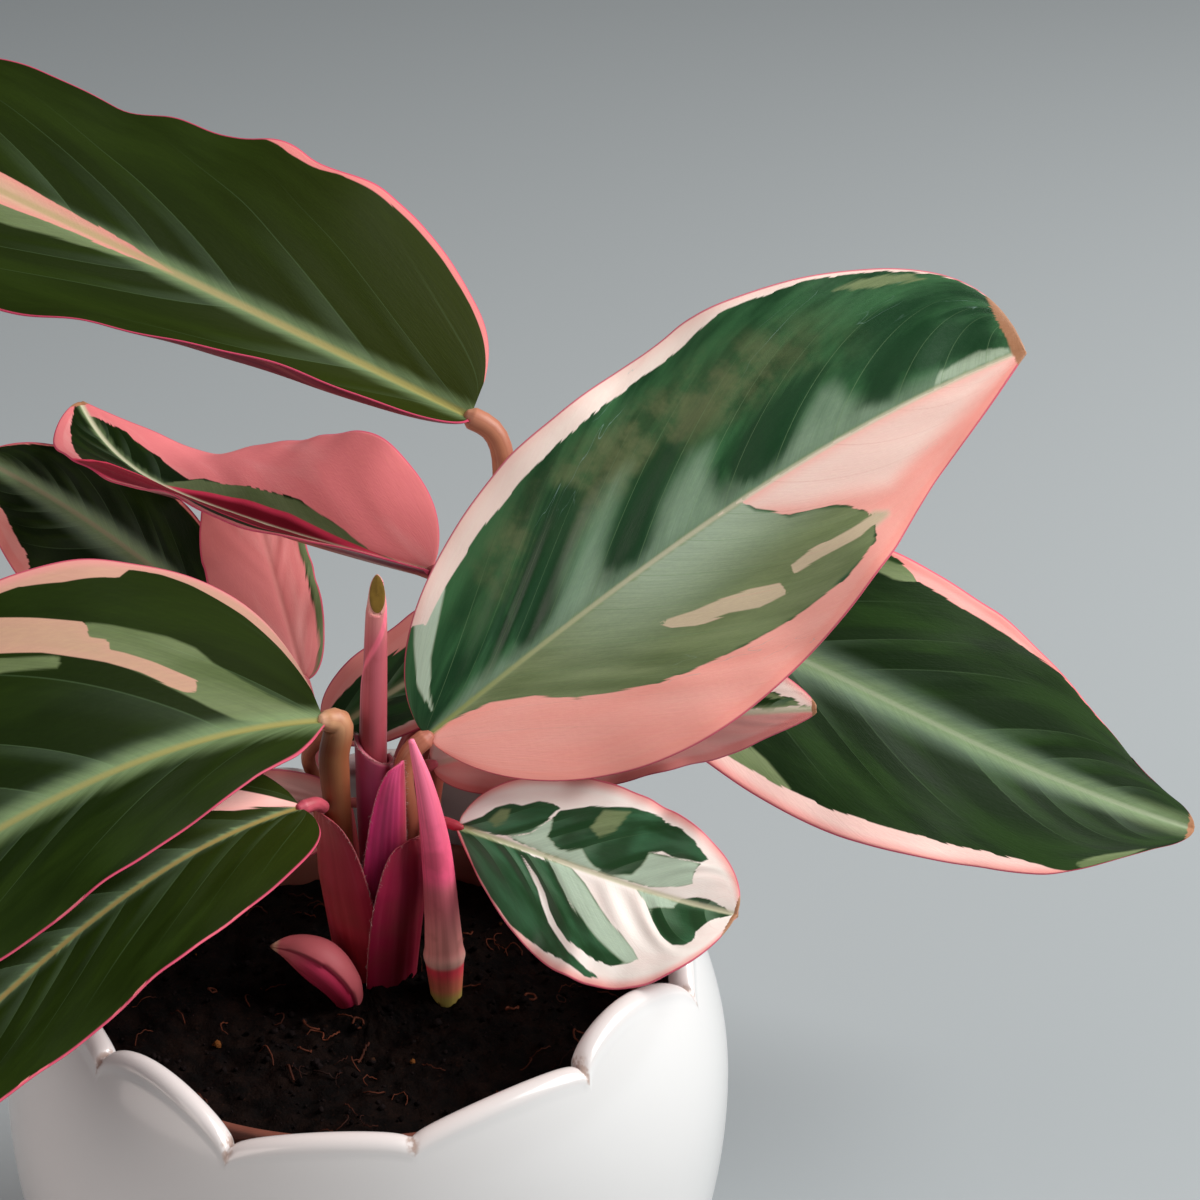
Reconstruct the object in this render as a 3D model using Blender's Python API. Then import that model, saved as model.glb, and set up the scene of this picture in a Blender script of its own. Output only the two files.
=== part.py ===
"""A stromanthe in a nursery pot, standing in a white glazed planter with a scalloped rim.

Every leaf, leaf stalk, sheath, shoot, pot and the soil is a closed solid of its own. The origin is the centre
of the planter's flat base, +Z is up and the planter's front faces -Y. Sizes are in millimetres times MM.
"""
import bpy
import bmesh
import numpy as np

MM = 0.001
GAP = 0.3 * MM

# Planter: a sphere above its widest line, a longer curve below it, and a flat base.
BELLY_RADIUS = 60 * MM
BELLY_HEIGHT = 62 * MM
BASE_RADIUS = 36 * MM
BASE_CORNER = 2.5 * MM
WALL = 5.5 * MM
LIP = 4.4 * MM
FLOOR = 6 * MM
SHOULDER = 70 * MM
# Rim from the front left round to the back: angle and height of each notch, rise of the lobe after it.
RIM = (
    (-135, 88, 5), (-108, 82, 2.5), (-79, 84, 2.5), (-48, 87.5, 6.5), (-15, 85, 5.5),
    (25, 90, 6), (65, 92, 6), (105, 92, 5), (150, 90, 4), (190, 88, 4),
)
LOBE_ROUNDNESS = 0.5
LOBE_STEPS = 7

# Nursery pot: a tapered thin cup that stands on the planter's floor.
CUP_RIM_RADIUS = 46.8 * MM
CUP_BASE_RADIUS = 28 * MM
CUP_TOP = 80 * MM
CUP_WALL = 1.2 * MM
CUP_ROLL = 2.2 * MM
CUP_ROLL_OUT = 0.9 * MM
CUP_SIDES = 48

# Soil: fills the nursery pot, with a low mound round the clump of stems.
SOIL_TOP = 75 * MM
SOIL_LUMPS = 0.7 * MM
LUMP_SIZES = (4.1 * MM, 5.3 * MM, 7.7 * MM)
SOIL_MOUND = 2 * MM
MOUND_RADIUS = 16 * MM
SOIL_RINGS = (1.0, 0.86, 0.72, 0.58, 0.45, 0.33, 0.22, 0.11)
SOIL_SIDES = 40
FOOT_DEPTH = 12.2 * MM
HOLE_CLEARANCE = 1.1 * MM
HOLE_ABOVE = 10 * MM
SOIL_CLEARANCE = 0.4 * MM

# Clump of stems: its centre, and its radius at foot, soil, middle and top.
CLUMP_X = 0.4 * MM
CLUMP_Y = 8.5 * MM
CLUMP_HEIGHTS = (64 * MM, 77 * MM, 96 * MM, 122 * MM)
CLUMP_RADII = (6.2 * MM, 7 * MM, 9.4 * MM, 9.8 * MM)
CLUMP_HOLE = 8.1 * MM

# Leaf blades: thickness, and half the width left at the stalk and at the tip.
BLADE = 0.8 * MM
BLADE_END = 0.6 * MM
MIDRIB_STEPS = 240
BLADE_ROWS = 16
BLADE_COLUMNS = 6
STALK_SIDES = 10


class Leaf:
    """One blade: where it starts, how long it is, which way it points, and the form of its two halves.

    Angles are degrees, given at evenly spaced places from stalk to tip. A half is (half width, power at the
    stalk, power at the tip). A fold lifts a half from the midrib, and a curl bends it further to its margin.
    """

    def __init__(self, name, base, length, heading, pitch, roll, left, right, fold_left=8, fold_right=8,
                 curl_left=-10, curl_right=-10, wave=(1.0, 3.0, 0.0, 0.5), colour=(0.05, 0.12, 0.03)):
        self.name = name
        self.base = np.array(base, float) * MM
        self.length = length * MM
        self.heading = heading
        self.pitch = pitch
        self.roll = roll
        self.left = (left[0] * MM, left[1], left[2])
        self.right = (right[0] * MM, right[1], right[2])
        self.fold_left = fold_left
        self.fold_right = fold_right
        self.curl_left = curl_left
        self.curl_right = curl_right
        self.wave = (wave[0] * MM,) + tuple(wave[1:])
        self.colour = colour


GREEN = (0.028, 0.075, 0.015)
PINK = (0.75, 0.42, 0.40)

LEAVES = (
    Leaf("leaf_main", (10.4, 7.9, 120.6), 116, 13.5, (38, 32, 18), (64, 54),
         (29.6, 0.51, 0.42), (28, 0.62, 1.02), fold_left=(12, 8, 0), fold_right=(6, 4, 8),
         curl_left=(-14, -10, -6), curl_right=(-8, 4, 4), wave=(1.2, 3.0, 0.1, 0.3), colour=GREEN),
    Leaf("leaf_under", (10.8, 11.2, 113.8), 64, (5, -4), (14, 4), (48, 42),
         (17, 0.6, 0.8), (10, 0.5, 0.8), fold_left=10, fold_right=-40, colour=PINK),
    Leaf("leaf_small", (15.2, 4.8, 105.8), 50, (-20, -30), (-9, -7, 4), (50, 40),
         (14.5, 0.5, 0.55), (18, 0.95, 0.55), fold_left=(0, 2, 6), fold_right=(4, 14, 22), colour=PINK),
    Leaf("leaf_right_back", (34.9, 70.9, 121.5), 126, (-4, 2), (-17, -28, -20), (60, 48),
         (25, 0.6, 0.68), (27, 0.6, 0.72), colour=GREEN),
    Leaf("leaf_top_left", (16.2, 54.6, 158.3), 150, (180, 174), (28, 26, 24), (-50, -42, -28, -20, -12),
         (28, 0.6, 0.6), (32, 0.33, 0.5), fold_left=(20, 4, 4, 4, 4), curl_left=(60, 84, 20, -10, -10),
         curl_right=(-16, -16, -10), colour=GREEN),
    Leaf("leaf_left_fold", (9.2, 52.8, 130.1), 96, (158, 140, 116), (4, 2, 2, 22), (-4, 0),
         (20, 0.5, 0.7), (24, 0.55, 1.0), fold_left=(34, 32, 30, 4), fold_right=(38, 32, 8, 10),
         curl_left=-4, colour=PINK),
    Leaf("leaf_left_dark", (-35.6, 84, 108.7), 54, (150, 155), (30, 16), (-48, -50),
         (18, 0.5, 0.8), (13, 0.45, 0.7), colour=GREEN),
    Leaf("leaf_pink_back", (-14.5, 56, 107.5), 60, (109, 104), (30, 14), 0,
         (12, 0.5, 0.7), (7, 0.5, 0.7), colour=PINK),
    Leaf("leaf_left_front", (-5.8, 3.6, 125.7), 120, 217, (14, -14, -14), (-30, -30),
         (18, 0.85, 0.6), (38, 0.35, 0.7), colour=GREEN),
    Leaf("leaf_low_front", (-9.5, -2.2, 113), 105, (230, 232), (10, -14, -18), -26,
         (15, 0.4, 0.6), (21, 0.45, 0.7), fold_left=(18, 18, 4), colour=GREEN),
    Leaf("leaf_behind", (-6.9, 22, 114), 62, (16, 22), (32, 10), (40, 40),
         (9.5, 0.4, 0.7), (9, 0.5, 0.7), colour=GREEN),
    Leaf("leaf_low_back", (-5, 18.5, 102.8), 42, (190, 196), (6, -20), (-60, -50),
         (10, 0.4, 0.7), (6, 0.5, 0.7), colour=PINK),
)

ORANGE = (0.42, 0.11, 0.05)
CRIMSON = (0.30, 0.015, 0.03)

# Leaf stalks from foot to blade: places, radii from foot to blade, and colour. A stalk runs on to its blade
# along the blade's own direction. The low front leaf's stalk grows out of a sheath's tip.
STALKS = (
    ("stalk_main", "leaf_main", ((4.4, 9.0, 64), (5.6, 9.0, 84), (7.1, 8.0, 104)), (1.3, 1.5, 1.7), ORANGE),
    ("stalk_under", "leaf_under", ((4, 11.6, 64), (4.6, 12.6, 84), (5.4, 13, 104)), (0.9, 1.0, 1.1), ORANGE),
    ("stalk_small", "leaf_small", ((12.4, 9.6, 64), (12.4, 9.6, 80), (12.2, 9.2, 97)),
     (0.9, 0.9, 0.9), CRIMSON),
    ("stalk_right_back", "leaf_right_back", ((5, 38, 64), (5, 38, 80), (8, 40, 98), (18, 52, 110)),
     (1.6, 1.6, 1.7), ORANGE),
    ("stalk_top_left", "leaf_top_left",
     ((9, 31, 64), (9, 31, 80), (9.5, 33.5, 98), (16, 42, 118), (21.5, 51, 140)), (1.7, 1.8, 2.0), ORANGE),
    ("stalk_left_fold", "leaf_left_fold", ((1, 32, 64), (1, 32, 80), (3.5, 37, 100), (13, 47, 120)),
     (1.4, 1.4, 1.5), CRIMSON),
    ("stalk_left_dark", "leaf_left_dark", ((-5, 39, 64), (-5, 39, 80), (-8, 44, 95), (-18, 60, 103)),
     (1.2, 1.2, 1.2), CRIMSON),
    ("stalk_pink_back", "leaf_pink_back", ((-7, 33, 64), (-7, 33, 80), (-9.5, 39, 95)),
     (1.2, 1.2, 1.2), CRIMSON),
    ("stalk_left_front", "leaf_left_front",
     ((-2.4, 7.4, 64), (-3.6, 6.6, 90), (-4.5, 5.7, 110), (-4.7, 5.5, 118)),
     (1.3, 1.8, 2.3, 2.5, 2.1, 1.8), ORANGE),
    ("stalk_low_front", "leaf_low_front", ((-6.5, 3, 110.4),), (1.1, 1.2), CRIMSON),
    ("stalk_behind", "leaf_behind", ((-4, 26, 64), (-4, 26, 80), (-8.5, 26, 100)), (1.2, 1.2, 1.2), ORANGE),
    ("stalk_low_back", "leaf_low_back", ((-1.5, 12.6, 64), (-1.8, 13.4, 84), (-0.6, 16.8, 97)),
     (0.8, 0.8, 0.9), CRIMSON),
)
APPROACH = 3
SHORT_APPROACH = {"stalk_left_front": 2}
STALK_GAP = 0.55

# Rolled new leaf, side shoot and bud: places along the middle and the radius at each.
SPIKE_PLACES = ((1.2, 9.9, 64), (1.2, 9.8, 90), (1.5, 9.6, 118), (2.3, 9.6, 136), (2.9, 9.5, 148.2))
SPIKE_RADII = (1.4, 1.7, 2.2, 1.9, 1.4)
SHOOT_PLACES = ((12.9, 1.7, 66), (12.9, 1.7, 76), (12.8, 1.6, 82), (12.5, 1.3, 92), (11.6, 0.9, 106),
                (9.9, 0.5, 117), (8.3, 0.1, 124))
SHOOT_RADII = (2.2, 2.6, 3.1, 2.8, 2.3, 1.4, 0.5)
BUD_PLACES = ((-3.4, 0.1, 66), (-3.4, 0, 74), (-4.9, -1.3, 79.4), (-8.9, -1, 83.6), (-13, 0.2, 85.2),
              (-15.8, 0.8, 85.4))
BUD_RADII = (1.6, 2.3, 3.8, 4.3, 2.4, 0.4)
BUD_HOLE = (-6.4, -1.2, 7, 10.5)

# Sheaths wrapped round the clump: name, share of the clump's radius and offset of the outer face, foot and
# tip heights, angle of the tip, angles of the left and right edges at the foot, colour.
SHEATH_WALL = 0.65
SHEATH_EDGE_POWER = 0.32
SHEATH_TIP_ANGLE = 6
SHEATHS = (
    ("sheath_front_left", 1.0, -0.75, 64, 109, -146, -215, -62, (0.35, 0.03, 0.05)),
    ("sheath_front_right", 1.0, 0.3, 64, 105, -43, -100, 34, (0.25, 0.01, 0.02)),
    ("sheath_right", 0.74, 0, 72, 118, -34, -112, -30, (0.50, 0.03, 0.10)),
)
SHEATH_ROWS = 10
SHEATH_COLUMNS = 8
SPIKE_SHEATH_GAP = 0.35
SPIKE_SHEATH_FOOT = 78
SPIKE_SHEATH_TOP = 120
SPIKE_SHEATH_TURN = (-300, 40)
SPIKE_SHEATH_SLANT = 0.06


def degrees_along(values, u):
    """A value that changes smoothly from stalk to tip, through evenly spaced values."""
    v = np.atleast_1d(np.asarray(values, float))
    u = np.asarray(u, float)
    if len(v) == 1:
        return np.full_like(u, v[0])
    padded = np.concatenate([[2 * v[0] - v[1]], v, [2 * v[-1] - v[-2]]])
    place = np.clip(u, 0, 1) * (len(v) - 1)
    k = np.minimum(place.astype(int), len(v) - 2)
    t = place - k
    a, b, c, d = (padded[k + i] for i in range(4))
    bend = (2 * a - 5 * b + 4 * c - d) * t ** 2 + (3 * b - a - 3 * c + d) * t ** 3
    return 0.5 * (2 * b + (c - a) * t + bend)


def smooth_line(places, count, carried=None):
    """Evenly spread points on a smooth line through places, with a value that each place carries."""
    places = np.asarray(places, float)
    steps = np.linalg.norm(np.diff(places, axis=0), axis=1)
    knots = np.concatenate([[0], np.cumsum(steps)])
    if carried is not None:
        places = np.column_stack([places, carried])
    slopes = np.diff(places, axis=0) / steps[:, None]
    tangents = np.concatenate([slopes[:1], slopes])
    for k in range(1, len(places) - 1):
        tangents[k] = (steps[k - 1] * slopes[k] + steps[k] * slopes[k - 1]) / (steps[k - 1] + steps[k])
    along = np.linspace(0, knots[-1], count)
    k = np.clip(np.searchsorted(knots, along, side="right") - 1, 0, len(steps) - 1)
    step = steps[k][:, None]
    t = (along - knots[k])[:, None] / step
    return ((2 * t ** 3 - 3 * t ** 2 + 1) * places[k] + (t ** 3 - 2 * t ** 2 + t) * step * tangents[k]
            + (3 * t ** 2 - 2 * t ** 3) * places[k + 1] + (t ** 3 - t ** 2) * step * tangents[k + 1])


def midrib(leaf):
    """Places, side vectors and normals along a leaf's midrib."""
    u = np.linspace(0, 1, MIDRIB_STEPS + 1)
    heading, pitch, roll = (np.radians(degrees_along(v, u)) for v in (leaf.heading, leaf.pitch, leaf.roll))
    forward = np.stack([np.cos(pitch) * np.cos(heading), np.cos(pitch) * np.sin(heading), np.sin(pitch)], 1)
    flat_side = np.stack([-np.sin(heading), np.cos(heading), 0 * heading], 1)
    flat_normal = np.cross(forward, flat_side)
    side = np.cos(roll)[:, None] * flat_side + np.sin(roll)[:, None] * flat_normal
    normal = np.cos(roll)[:, None] * flat_normal - np.sin(roll)[:, None] * flat_side
    steps = leaf.length / MIDRIB_STEPS * 0.5 * (forward[1:] + forward[:-1])
    places = leaf.base + np.concatenate([np.zeros((1, 3)), np.cumsum(steps, 0)])
    return u, places, side, normal


def half_width(form, u):
    """Half the blade's width at u, from its widest and the powers at stalk and tip."""
    widest, stalk_power, tip_power = form
    top = stalk_power / (stalk_power + tip_power)
    peak = top ** stalk_power * (1 - top) ** tip_power
    return BLADE_END + widest * u ** stalk_power * (1 - u) ** tip_power / peak


def blade_surface(leaf, u, v):
    """Places on the blade's middle surface, u from stalk to tip and v from -1 (right) to 1 (left margin)."""
    line_u, line_places, line_side, line_normal = midrib(leaf)
    places, side, normal = (
        np.stack([np.interp(u, line_u, line[:, k]) for k in range(3)], -1)
        for line in (line_places, line_side, line_normal))
    left = v >= 0
    width = np.where(left, half_width(leaf.left, u), half_width(leaf.right, u))
    fold = np.radians(np.where(left, degrees_along(leaf.fold_left, u), degrees_along(leaf.fold_right, u)))
    curl = np.radians(np.where(left, degrees_along(leaf.curl_left, u), degrees_along(leaf.curl_right, u)))
    curl = np.where(np.abs(curl) < 1e-4, 1e-4, curl)
    across = np.abs(v)
    out = width * (np.sin(fold + curl * across) - np.sin(fold)) / curl
    up = -width * (np.cos(fold + curl * across) - np.cos(fold)) / curl
    height, count, left_phase, right_phase = leaf.wave
    phase = np.where(left, left_phase, right_phase)
    swell = np.sin(np.pi * u) ** 0.7
    up = up + height * across ** 2.2 * swell * np.sin(2 * np.pi * (count * u + phase))
    return places + side * (np.sign(v) * out)[..., None] + normal * up[..., None]


def grid_normals(grid):
    """Unit normals of a grid of places, from its rows and columns."""
    normals = np.cross(np.gradient(grid, axis=0), np.gradient(grid, axis=1))
    return normals / np.linalg.norm(normals, axis=2, keepdims=True)


def material(name, colour, roughness, metallic=0.0):
    """A Principled material of one colour."""
    new = bpy.data.materials.new(name)
    new.use_nodes = True
    surface = new.node_tree.nodes["Principled BSDF"]
    surface.inputs["Base Color"].default_value = (*colour, 1)
    surface.inputs["Roughness"].default_value = roughness
    surface.inputs["Metallic"].default_value = metallic
    return new


def add_solid(name, vertices, faces, surface):
    """An object from places and faces, turned so that its faces point out."""
    mesh = bpy.data.meshes.new(name)
    mesh.from_pydata([tuple(v) for v in vertices], [], faces)
    shape = bmesh.new()
    shape.from_mesh(mesh)
    bmesh.ops.recalc_face_normals(shape, faces=shape.faces)
    if shape.calc_volume(signed=True) < 0:
        bmesh.ops.reverse_faces(shape, faces=shape.faces)
    shape.to_mesh(mesh)
    shape.free()
    mesh.materials.append(surface)
    mesh.shade_smooth()
    mesh.set_sharp_from_angle(angle=np.radians(40))
    new = bpy.data.objects.new(name, mesh)
    bpy.context.scene.collection.objects.link(new)
    return new


def slab(name, top, bottom, surface):
    """A closed slab between two grids of places, cut into triangles alike on both faces."""
    rows, columns = top.shape[:2]
    count = rows * columns
    index = np.arange(count).reshape(rows, columns)
    faces = []
    for i in range(rows - 1):
        for j in range(columns - 1):
            corners = (index[i, j], index[i + 1, j], index[i + 1, j + 1], index[i, j + 1])
            a, b, c, d = (int(corner) for corner in corners)
            faces.append((a, b, c))
            faces.append((a, c, d))
            faces.append((a + count, c + count, b + count))
            faces.append((a + count, d + count, c + count))
    border = [int(k) for k in (*index[0, :-1], *index[:-1, -1], *index[-1, :0:-1], *index[:0:-1, 0])]
    for a, b in zip(border, border[1:] + border[:1]):
        faces.append((a, b, b + count))
        faces.append((a, b + count, a + count))
    return add_solid(name, np.concatenate([top.reshape(-1, 3), bottom.reshape(-1, 3)]), faces, surface)


def add_leaf(leaf):
    """A leaf's blade as a thin slab along its middle surface."""
    rows = 0.5 - 0.5 * np.cos(np.linspace(0, np.pi, BLADE_ROWS + 1))
    u, v = np.meshgrid(rows, np.linspace(-1, 1, BLADE_COLUMNS + 1), indexing="ij")
    middle = blade_surface(leaf, u, v)
    normals = grid_normals(middle)
    normals[0] = normals[1]
    normals[-1] = normals[-2]
    surface = material(leaf.name, leaf.colour, 0.35)
    return slab(leaf.name, middle + normals * BLADE / 2, middle - normals * BLADE / 2, surface)


def add_tube(name, places, radii, surface, rings=15, last_direction=None):
    """A round stem through the given places, with flat ends, the last one square to a direction."""
    if len(radii) == len(places):
        line = smooth_line(places, rings, radii) * MM
        line, radius = line[:, :3], line[:, 3]
    else:
        line = smooth_line(places, rings) * MM
        radius = degrees_along(radii, np.linspace(0, 1, rings)) * MM
    forward = np.gradient(line, axis=0)
    forward /= np.linalg.norm(forward, axis=1, keepdims=True)
    if last_direction is not None:
        forward[-1] = last_direction
    across = np.cross(forward, (0.0, 1.0, 0.0))
    across /= np.linalg.norm(across, axis=1, keepdims=True)
    other = np.cross(forward, across)
    angles = np.arange(STALK_SIDES) * 2 * np.pi / STALK_SIDES
    vertices = [line[i] + radius[i] * (np.cos(a) * across[i] + np.sin(a) * other[i])
                for i in range(rings) for a in angles]
    faces = []
    for i in range(rings - 1):
        for j in range(STALK_SIDES):
            k = (j + 1) % STALK_SIDES
            start = i * STALK_SIDES
            faces.append((start + j, start + k, start + k + STALK_SIDES, start + j + STALK_SIDES))
    faces.append(tuple(range(STALK_SIDES)))
    faces.append(tuple(range((rings - 1) * STALK_SIDES, rings * STALK_SIDES)))
    return add_solid(name, vertices, faces, surface)


def add_stalk(name, leaf, places, radii, colour):
    """A leaf stalk that ends just short of its blade."""
    u, line, side, normal = midrib(leaf)
    start = line[0] / MM
    forward = (line[1] - line[0]) / np.linalg.norm(line[1] - line[0])
    near = start - forward * SHORT_APPROACH.get(name, APPROACH)
    end = start - forward * STALK_GAP
    places = (*places, tuple(near), tuple(end))
    return add_tube(name, places, radii, material(name, colour, 0.4), rings=13, last_direction=forward)


def clump_radius(z):
    """The clump's radius at a height."""
    return np.interp(z, CLUMP_HEIGHTS, CLUMP_RADII)


def add_sheath(name, share, offset, foot, tip, tip_angle, left_angle, right_angle, colour):
    """A thin sheath round the clump, whose two edges run together to a tip."""
    t = np.linspace(0, 1, SHEATH_ROWS + 1)
    z = (foot + (tip - foot) * t) * MM
    edge = (1 - t) ** SHEATH_EDGE_POWER
    across = np.linspace(0, 1, SHEATH_COLUMNS + 1)
    left = tip_angle + (left_angle - tip_angle) * edge - SHEATH_TIP_ANGLE / 2
    right = tip_angle + (right_angle - tip_angle) * edge + SHEATH_TIP_ANGLE / 2
    angle = np.radians(left[:, None] + (right - left)[:, None] * across)
    outer = clump_radius(z) * share + offset * MM
    height = np.broadcast_to(z[:, None], angle.shape)
    grids = []
    for radius in (outer[:, None], outer[:, None] - SHEATH_WALL * MM):
        x = CLUMP_X + radius * np.cos(angle)
        y = CLUMP_Y + radius * np.sin(angle)
        grids.append(np.stack([x, y, height], -1))
    return slab(name, grids[0], grids[1], material(name, colour, 0.4))


def add_spike_sheath():
    """The sheath round the new leaf: an open tube with a slanting top."""
    rows, columns = 10, 12
    u = np.linspace(0, 1, rows + 1)
    angle = np.radians(np.linspace(*SPIKE_SHEATH_TURN, columns + 1))
    slant = 1 - SPIKE_SHEATH_SLANT * (1 + np.sin(angle)) / 2
    height = (SPIKE_SHEATH_TOP - SPIKE_SHEATH_FOOT) * u[:, None] * slant + SPIKE_SHEATH_FOOT
    line = smooth_line(SPIKE_PLACES, 40, SPIKE_RADII)
    middle_x, middle_y, spike_radius = (np.interp(height, line[:, 2], line[:, k]) for k in (0, 1, 3))
    inner = spike_radius + SPIKE_SHEATH_GAP
    grids = []
    for radius in (inner + SHEATH_WALL, inner):
        x = middle_x + radius * np.cos(angle)
        y = middle_y + radius * np.sin(angle)
        grids.append(np.stack([x, y, height], -1) * MM)
    return slab("sheath_spike", grids[0], grids[1], material("sheath_spike", (0.45, 0.05, 0.12), 0.4))


def rim_profile():
    """Angles round the rim, with a step on every notch, and the rim's height at each."""
    angles = []
    heights = []
    following = RIM[1:] + ((RIM[0][0] + 360, RIM[0][1], 0),)
    for (angle, notch, rise), (next_angle, next_notch, _) in zip(RIM, following):
        for k in range(LOBE_STEPS):
            share = k / LOBE_STEPS
            angles.append(np.radians(angle + (next_angle - angle) * share))
            lobe = rise * np.sin(np.pi * share) ** LOBE_ROUNDNESS
            heights.append((notch + (next_notch - notch) * share + lobe) * MM)
    return np.array(angles), np.array(heights)


def planter_radius(z):
    """The planter's outer radius at a height."""
    above = np.sqrt(np.maximum(BELLY_RADIUS ** 2 - (z - BELLY_HEIGHT) ** 2, 0))
    depth = BELLY_HEIGHT / np.sqrt(1 - (BASE_RADIUS / BELLY_RADIUS) ** 2)
    below = BELLY_RADIUS * np.sqrt(np.maximum(1 - ((BELLY_HEIGHT - z) / depth) ** 2, 0))
    return np.where(z >= BELLY_HEIGHT, above, below)


def turned_solid(name, rings, angles, surface):
    """A closed solid from rings of radius and height round +Z; the first and last ring are closed flat."""
    count = len(angles)
    vertices = []
    for radius, height in rings:
        radius = np.broadcast_to(radius, count)
        height = np.broadcast_to(height, count)
        vertices.extend(np.stack([radius * np.cos(angles), radius * np.sin(angles), height], 1))
    faces = []
    for i in range(len(rings) - 1):
        for j in range(count):
            k = (j + 1) % count
            faces.append((i * count + j, i * count + k, (i + 1) * count + k, (i + 1) * count + j))
    faces.append(tuple(range(count)))
    faces.append(tuple(range((len(rings) - 1) * count, len(rings) * count)))
    return add_solid(name, vertices, faces, surface)


def add_planter():
    """The white planter, with its scalloped, rounded lip and its hollow."""
    angles, rim = rim_profile()
    rings = [(BASE_RADIUS - BASE_CORNER, 0)]
    for z in (BASE_CORNER, 14 * MM, 26 * MM, 38 * MM, 50 * MM, BELLY_HEIGHT, SHOULDER):
        rings.append((planter_radius(z), z))
    lip_foot = rim - LIP / 2
    for share in (0.5, 1.0):
        z = SHOULDER + (lip_foot - SHOULDER) * share
        rings.append((planter_radius(z), z))
    middle = planter_radius(lip_foot) - LIP / 2
    for turn in (45, 90, 135, 180):
        a = np.radians(turn)
        rings.append((middle + LIP / 2 * np.cos(a), lip_foot + LIP / 2 * np.sin(a)))
    for z in (SHOULDER, 50 * MM, 30 * MM, 16 * MM):
        rings.append((planter_radius(z) - WALL, z))
    rings.append((BASE_RADIUS - WALL, FLOOR))
    return turned_solid("planter", rings, angles, material("planter", (0.86, 0.85, 0.84), 0.25))


def cup_radius(z, inset=0.0):
    """The nursery pot's outer radius at a height, less an inset."""
    foot = FLOOR + GAP
    return CUP_BASE_RADIUS + (CUP_RIM_RADIUS - CUP_BASE_RADIUS) * (z - foot) / (CUP_TOP - foot) - inset


def add_cup():
    """The thin nursery pot, with a rolled edge at its rim."""
    angles = np.arange(CUP_SIDES) * 2 * np.pi / CUP_SIDES
    foot = FLOOR + GAP
    roll = CUP_TOP - CUP_ROLL
    rings = [
        (CUP_BASE_RADIUS - MM, foot), (CUP_BASE_RADIUS, foot + MM), (cup_radius(roll), roll),
        (cup_radius(roll) + CUP_ROLL_OUT, roll),
        (cup_radius(CUP_TOP) + CUP_ROLL_OUT, CUP_TOP - 0.5 * MM),
        (cup_radius(CUP_TOP), CUP_TOP), (cup_radius(CUP_TOP, CUP_WALL), CUP_TOP - 0.5 * MM),
        (cup_radius(foot + CUP_WALL, CUP_WALL), foot + CUP_WALL),
    ]
    return turned_solid("nursery_pot", rings, angles, material("nursery_pot", (0.13, 0.03, 0.02), 0.5))


def soil_height(x, y):
    """The soil's height at a place: lumps, and a mound round the clump."""
    across, deep, slanted = LUMP_SIZES
    lumps = np.sin(x / across + 1.3) * np.cos(y / deep) + 0.6 * np.sin((x + y) / slanted)
    away = np.hypot(x - CLUMP_X, y - CLUMP_Y) / MOUND_RADIUS
    return SOIL_TOP + SOIL_LUMPS * lumps + SOIL_MOUND * np.exp(-away ** 2)


def hole_list():
    """Centre, radius and depth of each plain hole in the soil."""
    holes = [(CLUMP_X, CLUMP_Y, CLUMP_HOLE, FOOT_DEPTH), tuple(value * MM for value in BUD_HOLE)]
    x, y, z = SHOOT_PLACES[0]
    holes.append((x * MM, y * MM, SHOOT_RADII[1] * MM + HOLE_CLEARANCE, FOOT_DEPTH))
    for name, leaf, places, radii, colour in STALKS:
        x, y, z = places[0]
        in_clump = np.hypot(x * MM - CLUMP_X, y * MM - CLUMP_Y) < CLUMP_HOLE
        if z * MM < SOIL_TOP and not in_clump:
            holes.append((x * MM, y * MM, radii[0] * MM + HOLE_CLEARANCE, FOOT_DEPTH))
    return holes


def add_soil():
    """The soil, with a lumpy top and a plain hole for each stem."""
    angles = np.arange(SOIL_SIDES) * 2 * np.pi / SOIL_SIDES
    foot = FLOOR + GAP + CUP_WALL + SOIL_CLEARANCE
    top = SOIL_TOP + SOIL_LUMPS
    rings = [(cup_radius(foot, CUP_WALL + SOIL_CLEARANCE), foot)]
    edge = cup_radius(SOIL_TOP - 2 * SOIL_LUMPS, CUP_WALL + SOIL_CLEARANCE)
    for share in SOIL_RINGS:
        radius = edge * share
        rings.append((radius, soil_height(radius * np.cos(angles), radius * np.sin(angles))))
    soil = turned_solid("soil", rings, angles, material("soil", (0.012, 0.008, 0.006), 0.95))
    shape = bmesh.new()
    shape.from_mesh(soil.data)
    bmesh.ops.triangulate(shape, faces=shape.faces)
    shape.to_mesh(soil.data)
    shape.free()
    for number, (x, y, radius, depth) in enumerate(hole_list()):
        length = depth + HOLE_ABOVE
        bpy.ops.mesh.primitive_cylinder_add(vertices=18, radius=radius, depth=length,
                                            location=(x, y, top - depth + length / 2))
        cutter = bpy.context.active_object
        cutter.name = f"hole_{number}"
        cut = soil.modifiers.new("hole", "BOOLEAN")
        cut.operation = "DIFFERENCE"
        cut.object = cutter
        bpy.context.view_layer.objects.active = soil
        bpy.ops.object.modifier_apply(modifier=cut.name)
        bpy.data.objects.remove(cutter, do_unlink=True)
    return soil


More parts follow.
